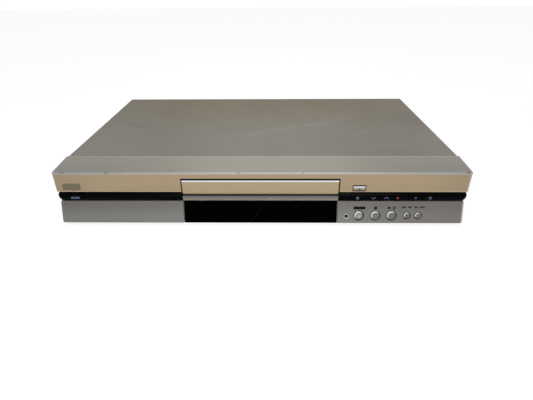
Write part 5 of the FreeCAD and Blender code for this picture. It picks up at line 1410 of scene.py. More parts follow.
def row_copies() -> Repeater:
    """A tree that sets the form along edges at a pitch, its X along the edge.

    Returns:
        The tree, with the inputs Form and Pitch.
    """
    made = Repeater("row_copies", {"Form": "NodeSocketObject", "Pitch": "NodeSocketFloat"})
    curve = made.node("GeometryNodeMeshToCurve", inputs={"Mesh": made.given["Geometry"]})["Curve"]
    inputs = {"Curve": curve, "Length": made.given["Pitch"]}
    points = made.node("GeometryNodeResampleCurve", {"mode": "LENGTH"}, inputs)["Curve"]
    tangent = made.node("GeometryNodeInputTangent")["Tangent"]
    settings = {"axis": "X", "pivot_axis": "Z"}
    aimed = made.node("FunctionNodeAlignRotationToVector", settings, {"Vector": tangent})["Rotation"]
    inputs = {"Points": points, "Instance": made.form(), "Rotation": aimed}
    made.end(made.node("GeometryNodeInstanceOnPoints", inputs=inputs)["Instances"])
    return made


def scattered_copies() -> Repeater:
    """A tree that scatters the form over faces, in quarter turns and chance sizes.

    Returns:
        The tree, with the inputs Form, Spacing, Density, Smallest, Largest and Seed.
    """
    kinds = {"Form": "NodeSocketObject", "Spacing": "NodeSocketFloat", "Density": "NodeSocketFloat",
             "Smallest": "NodeSocketVector", "Largest": "NodeSocketVector", "Seed": "NodeSocketInt"}
    made = Repeater("scattered_copies", kinds)
    given = made.given
    inputs = {"Mesh": given["Geometry"], "Distance Min": given["Spacing"], "Density Max": given["Density"],
              "Seed": given["Seed"]}
    settings = {"distribute_method": "POISSON"}
    points = made.node("GeometryNodeDistributePointsOnFaces", settings, inputs)["Points"]
    inputs = {4: 0, 5: 3, 8: given["Seed"]}
    quarter = made.node("FunctionNodeRandomValue", {"data_type": "INT"}, inputs)[2]
    inputs = {0: given["Smallest"], 1: given["Largest"], 8: given["Seed"] + 7.0}
    size = made.node("FunctionNodeRandomValue", {"data_type": "FLOAT_VECTOR"}, inputs)[0]
    turn = made.turned(quarter * (math.pi / 2))
    inputs = {"Points": points, "Instance": made.form(), "Rotation": turn, "Scale": size}
    made.end(made.node("GeometryNodeInstanceOnPoints", inputs=inputs)["Instances"])
    return made


def winding() -> Repeater:
    """A tree that winds a wire into a coil that stands on a point.

    Returns:
        The tree, with the inputs Turns, Radius, Height, Wire and Foot.
    """
    kinds = {"Turns": "NodeSocketFloat", "Radius": "NodeSocketFloat", "Height": "NodeSocketFloat",
             "Wire": "NodeSocketFloat", "Foot": "NodeSocketVector"}
    made = Repeater("winding", kinds)
    given = made.given
    inputs = {"Resolution": 20, "Rotations": given["Turns"], "Start Radius": given["Radius"],
              "End Radius": given["Radius"], "Height": given["Height"]}
    coil = made.node("GeometryNodeCurveSpiral", inputs=inputs)["Curve"]
    inputs = {"Resolution": 6, "Radius": given["Wire"]}
    section = made.node("GeometryNodeCurvePrimitiveCircle", {"mode": "RADIUS"}, inputs)["Curve"]
    inputs = {"Curve": coil, "Profile Curve": section, "Fill Caps": True}
    wire = made.node("GeometryNodeCurveToMesh", inputs=inputs)["Mesh"]
    inputs = {"Geometry": wire, "Translation": given["Foot"]}
    made.end(made.node("GeometryNodeTransform", inputs=inputs)["Geometry"])
    return made


def leaning(across: float, run: float) -> Plane:
    """A place on the leaning lower front, that far up the face from its foot."""
    return Plane(LOWER_FOOT + RIGHT * across + LEANING_UP * run, RIGHT, LEANING_UP)


def upright(across: float, depth: float, high: float) -> Plane:
    """A place on a face that looks to the front."""
    return Plane(Vector((across, depth, high)), RIGHT, UP)


def rearward(across: float, depth: float, high: float) -> Plane:
    """A place on a face that looks to the rear."""
    return Plane(Vector((across, depth, high)), -RIGHT, UP)


class Workshop:
    """The loaded frame and the finishes, shared by the sub-assemblies."""

    def __init__(self, frame: dict[str, object]) -> None:
        """Keep the frame.
        """
        self.nodes: dict[str, bpy.types.Object] = frame["nodes"]
        self.finishes: dict[str, bpy.types.Material] = {}

    def material(self, finish: Finish) -> bpy.types.Material:
        """The finish's material, made once.

        Args:
            finish: The finish.

        Returns:
            Its material.
        """
        if finish.name not in self.finishes:
            self.finishes[finish.name] = finish.make()
        return self.finishes[finish.name]

    def dress(self, finish: Finish, *nodes: str) -> None:
        """Give CAD nodes a finish.

        Args:
            finish: The finish.
            nodes: The nodes' names.
        """
        for node in nodes:
            mesh = self.nodes[node].data
            mesh.materials.clear()
            mesh.materials.append(self.material(finish))
            log.info("%s wears %s", node, finish.name)

    def add(self, piece: bpy.types.Object, finish: Finish, body: str) -> None:
        """Finish a piece: its material and the body it rides on.

        Args:
            piece: The object, at the origin.
            finish: Its finish.
            body: The CAD body that it moves with.
        """
        if not piece.data.materials:
            piece.data.materials.append(self.material(finish))
        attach(piece, body)
        log.info("%s rides on %s", piece.name, body)


COVER = CoverPaint("cover_paint", linear(137, 133, 123), roughness=0.42, metallic=0.25, grain=0.00002,
                   grain_scale=3500, mottle=0.035, mottle_scale=420.0, smudge=0.06, edge=0.0004)
SHELF = ShelfPaint("shelf_paint", linear(166, 162, 151), roughness=0.36, metallic=0.30, mottle=0.035,
                   mottle_scale=420.0, grain=0.000008, grain_scale=4000, edge=0.0003)
CHAMPAGNE = ChampagnePlate("champagne_plate", linear(169, 149, 120), roughness=0.34, metallic=0.35,
                           mottle=0.02, grain=0.000006, grain_scale=2600)
DOOR = DoorPlate("champagne_door", linear(176, 157, 125), roughness=0.30, metallic=0.35, mottle=0.015,
                 grain=0.000004, grain_scale=2600, edge=0.0004)
KEY_GOLD = KeyPlate("champagne_key", linear(158, 145, 121), roughness=0.30, metallic=0.35, mottle=0.01,
                    edge=0.0003, face_y=-0.135244, highlight_and_mark=linear(208, 216, 224), bevel_z=0.0424,
                    top_z=0.0440)
LIP = LipSilver("silver_lip", linear(190, 183, 167), roughness=0.28, metallic=0.35, mottle=0.005, smudge=0.01,
                edge=0.0003)
PANEL = PanelPaint("panel_paint", linear(118, 118, 115), roughness=0.42, metallic=0.25, mottle=0.015,
                   grain=0.000006, grain_scale=4200, edge=0.0003)
BEAD = GlossBlack("bead_black", (0.0010, 0.0009, 0.0010), roughness=0.16, specular=0.035, edge=0.0001)
WINDOW = ScratchedWindow("window_black", (0.0002, 0.0001, 0.0001), roughness=0.08, specular=0.004,
                         edge=0.0001)
BUTTON = ButtonPlating("button_plating", linear(108, 106, 102), roughness=0.28, metallic=0.4, mottle=0.01,
                       edge=0.0005)
STEEL = BrushedSheet("zinc_sheet", linear(168, 168, 162), roughness=0.38, metallic=0.85, mottle=0.05)
BLACK = Finish("black_moulding", linear(30, 30, 31), roughness=0.55, grain=0.00001, grain_scale=3000)
GREY = Finish("grey_moulding", linear(86, 87, 88), roughness=0.6, grain=0.00001)
TRAY = Finish("tray_moulding", linear(44, 44, 46), roughness=0.48, grain=0.000012, grain_scale=3000)
RUBBER = Finish("foot_rubber", linear(28, 27, 26), roughness=0.85, grain=0.00003, grain_scale=1500)
NICKEL = Finish("nickel", linear(196, 192, 182), roughness=0.22, metallic=1.0, mottle=0.04)
REAR_SOCKETS = Sockets("rear_socket_plating", linear(196, 192, 182), roughness=0.22, metallic=0.9,
                       mottle=0.04)
FRONT_SOCKETS = replace(REAR_SOCKETS, name="front_socket_plating", sheet_y=-0.1208, outward=-1.0)
SCREW = Finish("screw_steel", linear(150, 148, 142), roughness=0.30, metallic=1.0, mottle=0.06)
ALUMINIUM = linear(176, 178, 178)
PLUG = linear(214, 208, 190)
BOARD = Board("board_green", linear(26, 74, 42), roughness=0.4)
MAIN_BOARD = StockedBoard("main_board_green", linear(26, 74, 42), roughness=0.4, regions=(
    Region((112, 141), (-45, -16), ALUMINIUM, 3.0), Region((196, 206), (15, 52), PLUG),
    Region((99, 109), (41, 72), PLUG),
))
POWER_BOARD = StockedBoard("power_board_green", linear(34, 66, 38), roughness=0.4, regions=(
    Region((-198, -174), (79, 100), linear(196, 176, 60)),
    Region((-161.5, -142), (85, 104), linear(150, 90, 50)),
    Region((-119, -97), (81, 94), linear(46, 70, 110)), Region((-105, -93), (-45, -4), PLUG),
    Region((-200, -186), (-55, -24), PLUG), Region((-199, -175), (-16, 67), ALUMINIUM),
))
CHIP = Finish("chip_black", linear(34, 34, 36), "black_plastic", roughness=0.5, grain=0.000008)
WHITE = Finish("white_acetal", linear(214, 211, 200), roughness=0.42)
IRON = Transformer("core_iron", linear(84, 84, 88), roughness=0.5, metallic=0.3)
FERRITE = Finish("ferrite", linear(52, 52, 54), "core_iron", roughness=0.6)
COPPER = Finish("copper_wire", linear(190, 108, 62), roughness=0.25, metallic=1.0)
TIN = Finish("tinned_leads", linear(186, 186, 182), "plated_socket", roughness=0.25, metallic=1.0,
             mottle=0.02)
TAN = Finish("ceramic_tan", linear(168, 140, 104), "white_plastic", roughness=0.5)
SLEEVE = Finish("capacitor_sleeve", linear(34, 46, 84), roughness=0.35)
BELT = Finish("belt_rubber", linear(24, 24, 24), roughness=0.7)
TUBE = ClearPlastic("tube_glass", linear(120, 140, 136), roughness=0.05, clarity=0.8, ior=1.5)
RING_METAL = Finish("indicator_plating", linear(186, 188, 190), "button_metal", roughness=0.3, metallic=0.4)
SMOKED = GlossBlack("smoked_lens", (0.001, 0.001, 0.001), roughness=0.08, specular=0.1)
LENS = ClearPlastic("clear_lens", linear(235, 235, 232), roughness=0.04, clarity=0.95)
INK_NAVY = Finish("navy_ink", linear(38, 44, 66), roughness=0.5, mottle=0.0, edge=0.00001)
INK_RED = replace(INK_NAVY, name="red_ink", colour=linear(190, 52, 34))
INK_PALE = replace(INK_NAVY, name="pale_ink", colour=linear(118, 132, 168), specular=0.1)
INK_BLUE = replace(INK_NAVY, name="blue_ink", colour=linear(76, 90, 116), specular=0.1)
INK_DARK = replace(INK_NAVY, name="dark_ink", colour=linear(14, 14, 18), roughness=0.6, specular=0.05)
WHITE_RING = Finish("white_ring", linear(225, 224, 216), "white_plastic", roughness=0.4)
YELLOW_RING = replace(WHITE_RING, name="yellow_ring", colour=linear(224, 186, 40))
RED_RING = replace(WHITE_RING, name="red_ring", colour=linear(186, 36, 34))
GREEN_RING = replace(WHITE_RING, name="green_ring", colour=linear(30, 128, 66))
BLUE_RING = replace(WHITE_RING, name="blue_ring", colour=linear(36, 70, 160))
ORANGE_RING = replace(WHITE_RING, name="orange_ring", colour=linear(214, 112, 30))


@dataclass
class Assembly:
    """A group of the machine's pieces; the subclasses hold its sizes, dress it and complete it."""

    shop: Workshop


@dataclass
class SocketRings(Assembly):
    """Coloured rings on round sockets: one on the collar and one inside the mouth of the sleeve."""

    collar_inner: float = 4.2 * MM
    collar_outer: float = 5.3 * MM
    collar_proud: float = 0.25 * MM
    mouth_inner: float = 2.45 * MM
    mouth_outer: float = 3.2 * MM
    mouth_high: float = 0.5 * MM
    mouth_low: float = 1.5 * MM

    def make(self, name: str, finish: Finish, collars: Sequence[Plane], reach: float) -> None:
        """Make the rings of one colour.

        Args:
            name: The piece's name.
            finish: The rings' finish.
            collars: The face of each socket's collar, its origin on the socket's axis.
            reach: How far the sleeve's mouth stands in front of the collar.
        """
        top = self.collar_proud
        collar = [(self.collar_inner, 0.0), (self.collar_outer, 0.0), (self.collar_outer, top * 0.6),
                  (self.collar_outer - top * 0.5, top), (self.collar_inner, top)]
        low = reach - self.mouth_low
        high = reach - self.mouth_high
        mouth = [(self.mouth_inner, low), (self.mouth_outer, low), (self.mouth_outer, high),
                 (self.mouth_inner, high)]
        solid = Solid()
        for plane in collars:
            solid.lathe(plane.origin, plane.out, collar, 28, hollow=True)
            solid.lathe(plane.origin, plane.out, mouth, 20, hollow=True)
        self.shop.add(solid.finish(name), finish, "cabinet")


@dataclass
class Cabinet(Assembly):
    """The covers, the rear panel with its sockets, and the feet."""

    panel_y: float = 132.256 * MM
    collar_y: float = 133.056 * MM
    sleeve_reach: float = 7.2 * MM
    rows: tuple[float, ...] = (17.5 * MM, 31.5 * MM, 45.5 * MM)
    input_x: float = 20.0 * MM
    output_x: float = 58.0 * MM
    colour_x: float = 80.0 * MM
    digital_x: float = 99.0 * MM
    groups: tuple[tuple[float, float, Icon], ...] = (
        (29.0 * MM, 38.0 * MM, Icon.PULL),
        (78.0 * MM, 58.0 * MM, Icon.RISE),
        (168.0 * MM, 26.0 * MM, Icon.PULL),
    )
    group_high: float = 45.0 * MM
    line_w: float = 0.4 * MM
    arrow_high: float = 3.0 * MM
    arrow_in: float = 3.5 * MM
    label_x: float = 131.0 * MM
    label_wide: float = 34.0 * MM
    label_high: float = 22.0 * MM
    paper: float = 0.06 * MM
    hub: Vector = Vector((-60.0 * MM, 128.7 * MM, 30.2 * MM))
    hub_label_r: float = 8.5 * MM

    def build(self) -> None:
        """Dress the covers and add the fine pieces."""
        self.dress()
        low, middle, top = self.rows
        columns = (self.input_x, self.output_x)
        rings = (("yellow", YELLOW_RING, [(x, top) for x in columns]),
                 ("white", WHITE_RING, [(x, middle) for x in columns]),
                 ("red", RED_RING, [(x, low) for x in (*columns, self.colour_x)]),
                 ("green", GREEN_RING, [(self.colour_x, top)]),
                 ("blue", BLUE_RING, [(self.colour_x, middle)]),
                 ("orange", ORANGE_RING, [(self.digital_x, low)]))
        for colour, finish, places in rings:
            collars = [rearward(x, self.collar_y, z) for x, z in places]
            SocketRings(self.shop).make(f"rear_rings_{colour}", finish, collars, self.sleeve_reach)
        self.print_panel()

    def print_panel(self) -> None:
        """The lines round the groups of sockets, their arrows, a bare label and the fan's label."""
        high = self.group_high
        middle = self.rows[1]
        solid = Solid()
        for x, wide, sign in self.groups:
            inner = rounded(wide - 2 * self.line_w, high - 2 * self.line_w, 1.6 * MM)
            outer = rounded(wide, high, 2.0 * MM)
            solid.frame(rearward(x, self.panel_y, middle), outer, inner, INK_HIGH, INK_SUNK)
            corner = rearward(x - wide / 2 + self.arrow_in, self.panel_y, middle - high / 2 + self.arrow_high)
            for shape in sign.shapes(self.arrow_high):
                solid.prism(corner, shape, INK_HIGH, INK_SUNK)
        self.shop.add(solid.finish("panel_print"), INK_DARK, "cabinet")
        solid = Solid()
        outline = rounded(self.label_wide, self.label_high, 1.5 * MM)
        solid.prism(rearward(self.label_x, self.panel_y, middle), outline, self.paper, INK_SUNK)
        self.shop.add(solid.finish("bare_label"), WHITE_RING, "cabinet")
        solid = Solid()
        solid.lathe(self.hub, REAR, [(self.hub_label_r, 0.0), (self.hub_label_r, self.paper)], 36)
        self.shop.add(solid.finish("fan_label"), WHITE_RING, "fan_rotor")

    def dress(self) -> None:
        """Give the cabinet's nodes their finishes."""
        self.shop.dress(COVER, "top_cover")
        self.shop.dress(STEEL, "base_pan", "rear_panel")
        self.shop.dress(RUBBER, "feet")
        self.shop.dress(SCREW, "case_screws")
        self.shop.dress(BLACK, "ac_inlet", "fan_frame", "fan_rotor")
        self.shop.dress(REAR_SOCKETS, "rear_jacks")


@dataclass
class FrontFace(Assembly):
    """The upper front: shelf, fascia, tray door and open key."""

    open_key_x: float = 102.0 * MM
    open_key_z: float = 41.7 * MM
    open_key_y: float = -135.244 * MM
    fascia_y: float = -134.244 * MM
    key_hole_w: float = 13.8 * MM
    key_hole_h: float = 6.8 * MM
    shade_line_high: float = 0.03 * MM
    sign_high: float = 2.3 * MM
    sign_drop: float = 0.8 * MM

    def build(self) -> None:
        """Dress the upper front, print its sign and add a thin dark frame of painted shade round the open
        key's hole.
        """
        self.shop.dress(SHELF, "front_frame")
        self.shop.dress(CHAMPAGNE, "upper_fascia")
        self.shop.dress(DOOR, "tray_door")
        self.shop.dress(LIP, "tray_lip")
        self.shop.dress(KEY_GOLD, "open_close_button")
        place = upright(self.open_key_x, self.open_key_y, self.open_key_z - self.sign_drop)
        sign = printed("open_key_sign", [(Icon.EJECT, place, self.sign_high)])
        self.shop.add(sign, INK_DARK, "open_close_button")
        # painted shade: a thin dark frame on the fascia round the open key's hole, where the gap falls in
        # shade
        outer, inner = (rounded(self.key_hole_w + more, self.key_hole_h + more, radius)
                        for more, radius in ((0.5 * MM, 1.1 * MM), (0.1 * MM, 0.9 * MM)))
        place = upright(self.open_key_x, self.fascia_y, self.open_key_z)
        solid = Solid()
        solid.frame(place, outer, inner, self.shade_line_high, INK_SUNK)
        self.shop.add(solid.finish("open_key_line"), INK_DARK, "cabinet")


@dataclass
class BlackBead(Assembly):
    """The black bead's two ends with their keys and signs."""

    signs: tuple[tuple[str, Icon, float, Finish], ...] = (
        ("power_key", Icon.POWER, -194.9, INK_NAVY), ("rec_mode_key", Icon.RING_DOT, 100.4, INK_PALE),
        ("channel_down_key", Icon.DOWN, 116.9, INK_PALE), ("channel_up_key", Icon.UP, 130.5, INK_PALE),
        ("rec_key", Icon.DOT, 142.0, INK_RED), ("erase_key", Icon.CROSS, 160.5, INK_PALE),
        ("timer_key", Icon.CLOCK, 175.4, INK_PALE),
    )
    sign_z: float = 31.9 * MM
    key_face_y: float = -137.494 * MM
    pill_high: float = 2.2 * MM
    pill_ink: float = 0.02 * MM
    dot_high: float = 2.1 * MM
    sign_high: float = 2.5 * MM

    def build(self) -> None:
        """Dress the bead, and print a blue field on the power key and a sign on each key."""
        self.shop.dress(BEAD, "left_band", "right_band", *(key for key, *_ in self.signs))
        power_key, _, power_x, _ = self.signs[0]
        pill = (Icon.LABEL, upright(power_x * MM, self.key_face_y, self.sign_z), self.pill_high)
        self.shop.add(printed("power_key_pill", [pill], self.pill_ink), INK_BLUE, power_key)
        for key, icon, across, ink in self.signs:
            size = self.dot_high if icon is Icon.DOT else self.sign_high
            mark = (icon, upright(across * MM, self.key_face_y, self.sign_z), size)
            self.shop.add(printed(f"{key}_sign", [mark]), ink, key)


@dataclass(frozen=True)
class RoundButton:
    """A round button: its CAD node, its middle on X, its radius and whether its middle is lit."""

    node: str
    middle: float
    radius: float
    lit: bool = False


@dataclass
class FrontSockets(Assembly):
    """The coloured rings of the sockets behind the flap."""

    rings: tuple[tuple[str, Finish, float], ...] = (
        ("yellow", YELLOW_RING, -128.0 * MM),
        ("white", WHITE_RING, -115.0 * MM),
        ("red", RED_RING, -102.0 * MM),
    )
    collar_y: float = -122.844 * MM
    reach: float = 3.8 * MM
    high: float = 15.685 * MM

    def build(self) -> None:
        """Make the rings."""
        for name, finish, x in self.rings:
            plane = upright(x, self.collar_y, self.high)
            SocketRings(self.shop).make(f"front_ring_{name}", finish, [plane], self.reach)


@dataclass
class LowerFront(Assembly):
    """The leaning lower front: flap, window, control panel and its buttons.

    A sign is its icon, its middle on X, how far up the leaning face it stands and its height, in millimetres.
    """

    buttons: tuple[RoundButton, ...] = (
        RoundButton("live_pause_button", 103.3 * MM, 5.0 * MM, True),
        RoundButton("stop_button", 120.7 * MM, 5.0 * MM),
        RoundButton("play_button", 137.5 * MM, 5.0 * MM),
        RoundButton("skip_back_button", 153.7 * MM, 3.7 * MM),
        RoundButton("skip_forward_button", 165.4 * MM, 3.7 * MM),
    )
    signs: tuple[tuple[Icon, float, float, float], ...] = (
        (Icon.LABEL, 103.7, 16.7, 3.0), (Icon.STOP, 120.7, 16.7, 3.4), (Icon.PLAY, 135.2, 16.7, 3.7),
        (Icon.PAUSE, 140.2, 16.7, 3.7), (Icon.BACK, 150.0, 17.5, 2.8), (Icon.SEEK_BACK, 156.3, 17.5, 2.8),
        (Icon.SEEK, 163.2, 17.5, 2.8), (Icon.FORWARD, 169.4, 17.5, 2.8),
    )
    flap_sign: tuple[Icon, float, float, float] = (Icon.PULL, -208.6, 20.9, 1.6)
    button_run: float = 7.5 * MM
    indicator_x: float = 90.2 * MM
    indicator_r: float = 2.1 * MM
    ring_w: float = 0.6 * MM
    ring_proud: float = 0.3 * MM

    def build(self) -> None:
        """Dress the lower front and print the signs over the buttons."""
        self.shop.dress(PANEL, "control_panel", "jack_flap")
        self.shop.dress(WINDOW, "display_window")
        self.shop.dress(BLACK, "jack_panel")
        self.shop.dress(FRONT_SOCKETS, "front_jacks")
        self.shop.dress(SMOKED, "indicator_lens")
        for button in self.buttons:
            plating = replace(BUTTON, name=f"{button.node}_plating", middle=button.middle,
                              radius=button.radius, lit_middle=button.lit)
            self.shop.dress(plating, button.node)
        groups = (("button_signs", self.signs, "cabinet"), ("flap_sign", (self.flap_sign,), "flap"))
        for name, signs, body in groups:
            marks = [(icon, leaning(x * MM, run * MM), size * MM) for icon, x, run, size in signs]
            self.shop.add(printed(name, marks), INK_DARK, body)
        self.indicator_ring()
        FrontSockets(self.shop).build()

    def indicator_ring(self) -> None:
        """The pale ring round the indicator."""
        place = leaning(self.indicator_x, self.button_run)
        inner = self.indicator_r
        outer = inner + self.ring_w
        top = self.ring_proud
        profile = [(inner, 0.0), (outer, 0.0), (outer, top * 0.6), (outer - top, top), (inner + top, top),
                   (inner, top * 0.6)]
        solid = Solid()
        solid.lathe(place.origin, place.out, profile, 40, hollow=True)
        self.shop.add(solid.finish("indicator_ring"), RING_METAL, "cabinet")


@dataclass
class DiscDrive(Assembly):
    """The disc tray and the drive inside."""

    def build(self) -> None:
        """Dress the tray and the drive."""
        self.shop.dress(TRAY, "disc_tray")
        self.shop.dress(GREY, "drive_frame", "traverse_base")
        self.shop.dress(BLACK, "turntable", "pickup_sled")
        self.shop.dress(STEEL, "clamp_bridge")
        self.shop.dress(SCREW, "loading_motor", "spindle_motor", "feed_motor")
        self.shop.dress(NICKEL, "guide_rods", "feed_screw")
        self.shop.dress(WHITE, "clamper", "motor_pulley", "pulley_gear", "tray_drive_gear")
        self.shop.dress(BELT, "loading_belt")
        self.shop.dress(LENS, "lens_holder")


@dataclass(frozen=True)
class Chip:
    """A flat chip on the main board, and how many of its sides have leads (two or four)."""

    x: float
    y: float
    wide: float
    deep: float
    sides: int = 4

    def lead_lines(self, high: float, away: float) -> list[tuple[Vector, Vector]]:
        """The lines that its leads stand on, each with the chip on its left.

        Args:
            high: The height of the board's upper face.
            away: How far the lines are from the chip.

        Returns:
            The ends of each line.
        """
        x0, x1 = self.x + 0.8 * MM, self.x + self.wide - 0.8 * MM
        y0, y1 = self.y + 0.8 * MM, self.y + self.deep - 0.8 * MM
        front, rear = self.y - away, self.y + self.deep + away
        left, right = self.x - away, self.x + self.wide + away
        along_x = [(Vector((x0, front, high)), Vector((x1, front, high))),
                   (Vector((x1, rear, high)), Vector((x0, rear, high)))]
        along_y = [(Vector((right, y0, high)), Vector((right, y1, high))),
                   (Vector((left, y1, high)), Vector((left, y0, high)))]
        if self.sides == 4:
            return along_x + along_y
        return along_x if self.wide > self.deep else along_y


@dataclass
class Electronics(Assembly):
    """The boards, the tuner and the power supply, with leads, small parts and coils."""

    board_top: float = 11.6 * MM
    lead_pitch: float = 1.0 * MM
    lead_away: float = 0.45 * MM
    lead_wide: float = 0.36 * MM
    chips: tuple[Chip, ...] = (
        Chip(112.16 * MM, -44.64 * MM, 28 * MM, 28 * MM), Chip(150.55 * MM, -38.64 * MM, 16 * MM, 30 * MM, 2),
        Chip(176.74 * MM, -38.64 * MM, 16 * MM, 30 * MM, 2), Chip(118.20 * MM, 5.36 * MM, 20 * MM, 20 * MM),
        Chip(160.63 * MM, 13.36 * MM, 24 * MM, 14 * MM, 2), Chip(30.00 * MM, 89.36 * MM, 18 * MM, 18 * MM),
        Chip(66.00 * MM, 91.36 * MM, 22 * MM, 12 * MM, 2),
    )
    main_patches: tuple[tuple[float, ...], ...] = (
        (94, -68, 204, -50), (143, -44, 148, -8), (170, -40, 174, -8), (112, -12, 204, 2), (112, 31, 192, 64),
        (141, 6, 157, 27), (112, 68, 141, 112), (8, 76, 26, 112), (52, 76, 62, 112), (92, 78, 109, 112),
    )
    power_patches: tuple[tuple[float, ...], ...] = (
        (-170, -66, -108, -58), (-180, -40, -140, -12), (-176, 32, -160, 76), (-136, 68, -122, 112),
    )
    coils: tuple[Point, ...] = ((-160 * MM, -50 * MM), (-176 * MM, -50 * MM), (-196 * MM, 46 * MM))
    coil_r: float = 4.6 * MM
    coil_high: float = 9.0 * MM
    coil_turns: float = 9.0
    coil_wire: float = 0.42 * MM
    core_r: float = 3.9 * MM
    part_spacing: float = 5.0 * MM
    part_density: float = 50000.0

    def lead(self) -> bpy.types.Object:
        """One bent lead: its foot on the board on the -Y side, its shoulder against the chip.

        Returns:
            The lead, to be copied.
        """
        side = [(-0.70, 0.0), (0.10, 0.0), (0.34, 0.85), (0.70, 0.85), (0.70, 1.0), (0.22, 1.0),
                (-0.02, 0.16), (-0.70, 0.16)]
        plane = Plane(Vector((-self.lead_wide / 2, 0, 0)), REAR, UP)
        solid = Solid()
        solid.prism(plane, [(a * MM, b * MM) for a, b in side], self.lead_wide)
        return solid.finish("lead_form")

    def small_part(self, name: str) -> bpy.types.Object:
        """One small surface part with a raised middle, 1 mm long and high before it is scaled.

        Args:
            name: Its name.

        Returns:
            The part, to be copied.
        """
        top = Plane(Vector((0, 0, 0)), RIGHT, REAR)
        rings = ((1.0 * MM, 0.9 * MM, -0.02 * MM), (1.0 * MM, 0.9 * MM, 0.75 * MM),
                 (0.8 * MM, 0.7 * MM, 1.0 * MM))
        solid = Solid()
        solid.face_loops([[top.at(a, b, out) for a, b in rounded(wide, deep, 0.08 * MM, steps=2)]
                          for wide, deep, out in rings])
        return solid.finish(name)

    def leads(self) -> None:
        """The leads of the chips."""
        lines = [line for chip in self.chips for line in chip.lead_lines(self.board_top, self.lead_away)]
        piece = row_copies().run("chip_leads", lines_host("lead_lines", lines), self.shop.material(TIN),
                                 Form=self.lead(), Pitch=self.lead_pitch)
        self.shop.add(piece, TIN, "cabinet")

    def small_parts(self) -> None:
        """The small surface parts, scattered between the chips."""
        scatter = scattered_copies()
        kinds = (("dark_small_parts", CHIP, self.main_patches, 11, (1.4, 0.9, 0.5), (3.2, 1.8, 1.1)),
                 ("tan_small_parts", TAN, self.main_patches, 29, (1.2, 0.8, 0.6), (2.2, 1.4, 1.2)),
                 ("power_small_parts", CHIP, self.power_patches, 43, (1.8, 1.2, 0.8), (4.0, 2.2, 2.0)))
        for name, finish, patches, seed, smallest, largest in kinds:
            host = patches_host(f"{name}_host", [[end * MM for end in patch] for patch in patches],
                                self.board_top)
            piece = scatter.run(name, host, self.shop.material(finish), Form=self.small_part(f"{name}_form"),
                                Spacing=self.part_spacing, Density=self.part_density, Smallest=smallest,
                                Largest=largest, Seed=seed)
            self.shop.add(piece, finish, "cabinet")

    def wound_coils(self) -> None:
        """The coils on the power board and the cores inside them."""
        wound = winding()
        cores = Solid()
        rim = self.core_r + 1.4 * MM
        tall = self.coil_high + 2.4 * MM
        profile = [(rim, -0.02 * MM), (rim, 0.6 * MM), (self.core_r, 0.7 * MM),
                   (self.core_r, tall - 0.7 * MM), (rim, tall - 0.6 * MM), (rim, tall)]
        for number, (x, y) in enumerate(self.coils, 1):
            foot = Vector((x, y, self.board_top + 1.2 * MM))
            host = lines_host(f"coil_host_{number}", [])
            piece = wound.run(f"power_coil_{number}", host, self.shop.material(COPPER), Turns=self.coil_turns,
                              Radius=self.coil_r, Height=self.coil_high, Wire=self.coil_wire, Foot=foot)
            self.shop.add(piece, COPPER, "cabinet")
            cores.lathe(Vector((x, y, self.board_top)), UP, profile, 24)
        self.shop.add(cores.finish("coil_cores"), FERRITE, "cabinet")

    def build(self) -> None:
        """Dress the electronics and add their fine pieces."""
        self.leads()
        self.small_parts()
        self.wound_coils()
        self.shop.dress(BOARD, "upper_key_board", "lower_key_board")
        self.shop.dress(MAIN_BOARD, "main_board")
        self.shop.dress(POWER_BOARD, "power_board")
        self.shop.dress(NICKEL, "tuner_module")
        self.shop.dress(IRON, "power_transformer")
        self.shop.dress(SLEEVE, "power_capacitors")
        self.shop.dress(CHIP, "key_switches")
        self.shop.dress(TUBE, "display_tube")


@dataclass(frozen=True)
class Lamp:
    """A square soft lamp that points at the machine."""

    name: str
    place: tuple[float, float, float]
    size: float
    power: float
    aim: Vector = Vector((0, 0, 0.03))

    def build(self) -> None:
        """Make the lamp, unseen by the camera."""
        data = bpy.data.lights.new(self.name, "AREA")
        data.shape = "SQUARE"
        data.size = self.size
        data.energy = self.power
        lamp = linked(self.name, data)
        lamp.location = self.place
        lamp.rotation_mode = "QUATERNION"
        lamp.rotation_quaternion = (self.aim - Vector(self.place)).to_track_quat("-Z", "Y")
        lamp.visible_camera = False


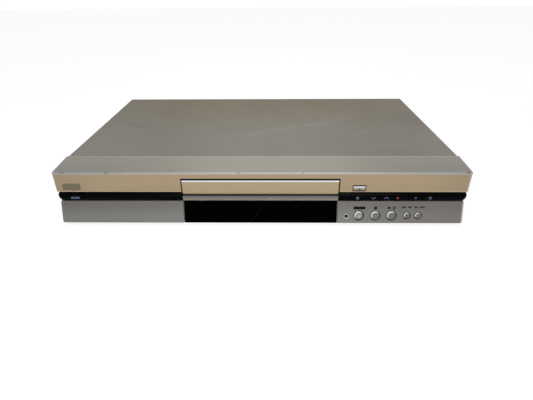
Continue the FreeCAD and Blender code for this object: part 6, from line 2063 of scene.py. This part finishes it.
@dataclass
class Studio:
    """The pale floor, the lamps and the camera at the photograph's angle."""

    eye: Vector = Vector((0.013034, -0.507756, 0.236558))
    right: Vector = Vector((0.99985813, 0.01523803, -0.00717785))
    above: Vector = Vector((-0.0011736, 0.48812475, 0.87277308))
    ahead: Vector = Vector((-0.01680303, 0.87264084, -0.48807339))
    focal_share: float = 405.983 / 533
    sensor: float = 36.0
    floor_half: float = 3.0
    floor_thick: float = 0.02
    ambient: float = 0.5
    backdrop: float = 1.02
    floor_glow: float = 1.17
    glow_share: float = 0.72
    white: tuple[float, ...] = (1.0, 1.0, 1.0, 1.0)
    floor_grey: tuple[float, ...] = (0.82, 0.82, 0.82, 1.0)
    nearest: float = 0.01
    lamps: tuple[Lamp, ...] = (
        Lamp("key_lamp", (0.10, -1.00, 1.10), 0.9, 9.0),
        Lamp("front_lamp", (0.00, -1.20, 0.35), 0.8, 3.0),
        Lamp("glow_lamp", (0.00, 0.80, 0.50), 0.60, 0.45),
    )

    def floor_material(self) -> bpy.types.Material:
        """A pale surface that the camera sees as white, apart from a soft shadow.

        Returns:
            The material.
        """
        material, tree = Tree.of_material("floor_white")
        share = tree.node("ShaderNodeLightPath")["Is Camera Ray"] * self.glow_share
        plain = tree.node("ShaderNodeBsdfDiffuse", inputs={"Color": self.floor_grey})
        inputs = {"Color": self.white, "Strength": self.floor_glow}
        white = tree.node("ShaderNodeEmission", inputs=inputs)
        mixed = tree.node("ShaderNodeMixShader", inputs={0: share, 1: plain["BSDF"], 2: white["Emission"]})
        tree.node("ShaderNodeOutputMaterial", inputs={"Surface": mixed["Shader"]})
        return material

    def build(self) -> None:
        """Make the floor, the lamps, the world and the camera."""
        self.floor()
        for lamp in self.lamps:
            lamp.build()
        self.world()
        self.camera()
        bpy.context.scene.view_settings.view_transform = "Standard"

    def floor(self) -> None:
        """The floor, on which the machine stands."""
        solid = Solid()
        half = self.floor_half
        solid.block(Vector((-half, -half, -self.floor_thick)), Vector((half, half, 0.0)))
        piece = solid.finish("floor")
        piece.data.materials.append(self.floor_material())

    def world(self) -> None:
        """A plain pale world, white to the camera."""
        world = bpy.data.worlds.new("plain_studio")
        bpy.context.scene.world = world
        world.use_nodes = True
        tree = Tree(world.node_tree)
        seen = tree.node("ShaderNodeLightPath")["Is Camera Ray"]
        strength = seen * (self.backdrop - self.ambient) + self.ambient
        inputs = {"Color": self.white, "Strength": strength}
        light = tree.node("ShaderNodeBackground", inputs=inputs)
        tree.node("ShaderNodeOutputWorld", inputs={"Surface": light["Background"]})

    def camera(self) -> None:
        """The camera, worked out from the photograph's perspective."""
        data = bpy.data.cameras.new("photo_camera")
        data.sensor_width = self.sensor
        data.lens = self.sensor * self.focal_share
        data.clip_start = self.nearest
        camera = linked("photo_camera", data)
        turn = Matrix((self.right, self.above, -self.ahead)).transposed()
        camera.matrix_world = Matrix.Translation(self.eye) @ turn.to_4x4()
        bpy.context.scene.camera = camera


def main() -> None:
    """Load the frame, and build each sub-assembly and the studio."""
    logging.basicConfig(level=logging.INFO, format="%(name)s: %(message)s")
    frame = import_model()
    shop = Workshop(frame)
    for kind in (Cabinet, FrontFace, BlackBead, LowerFront, DiscDrive, Electronics):
        kind(shop).build()
        log.info("%s is ready", kind.__name__)
    Studio().build()


if __name__ == "__main__":
    main()
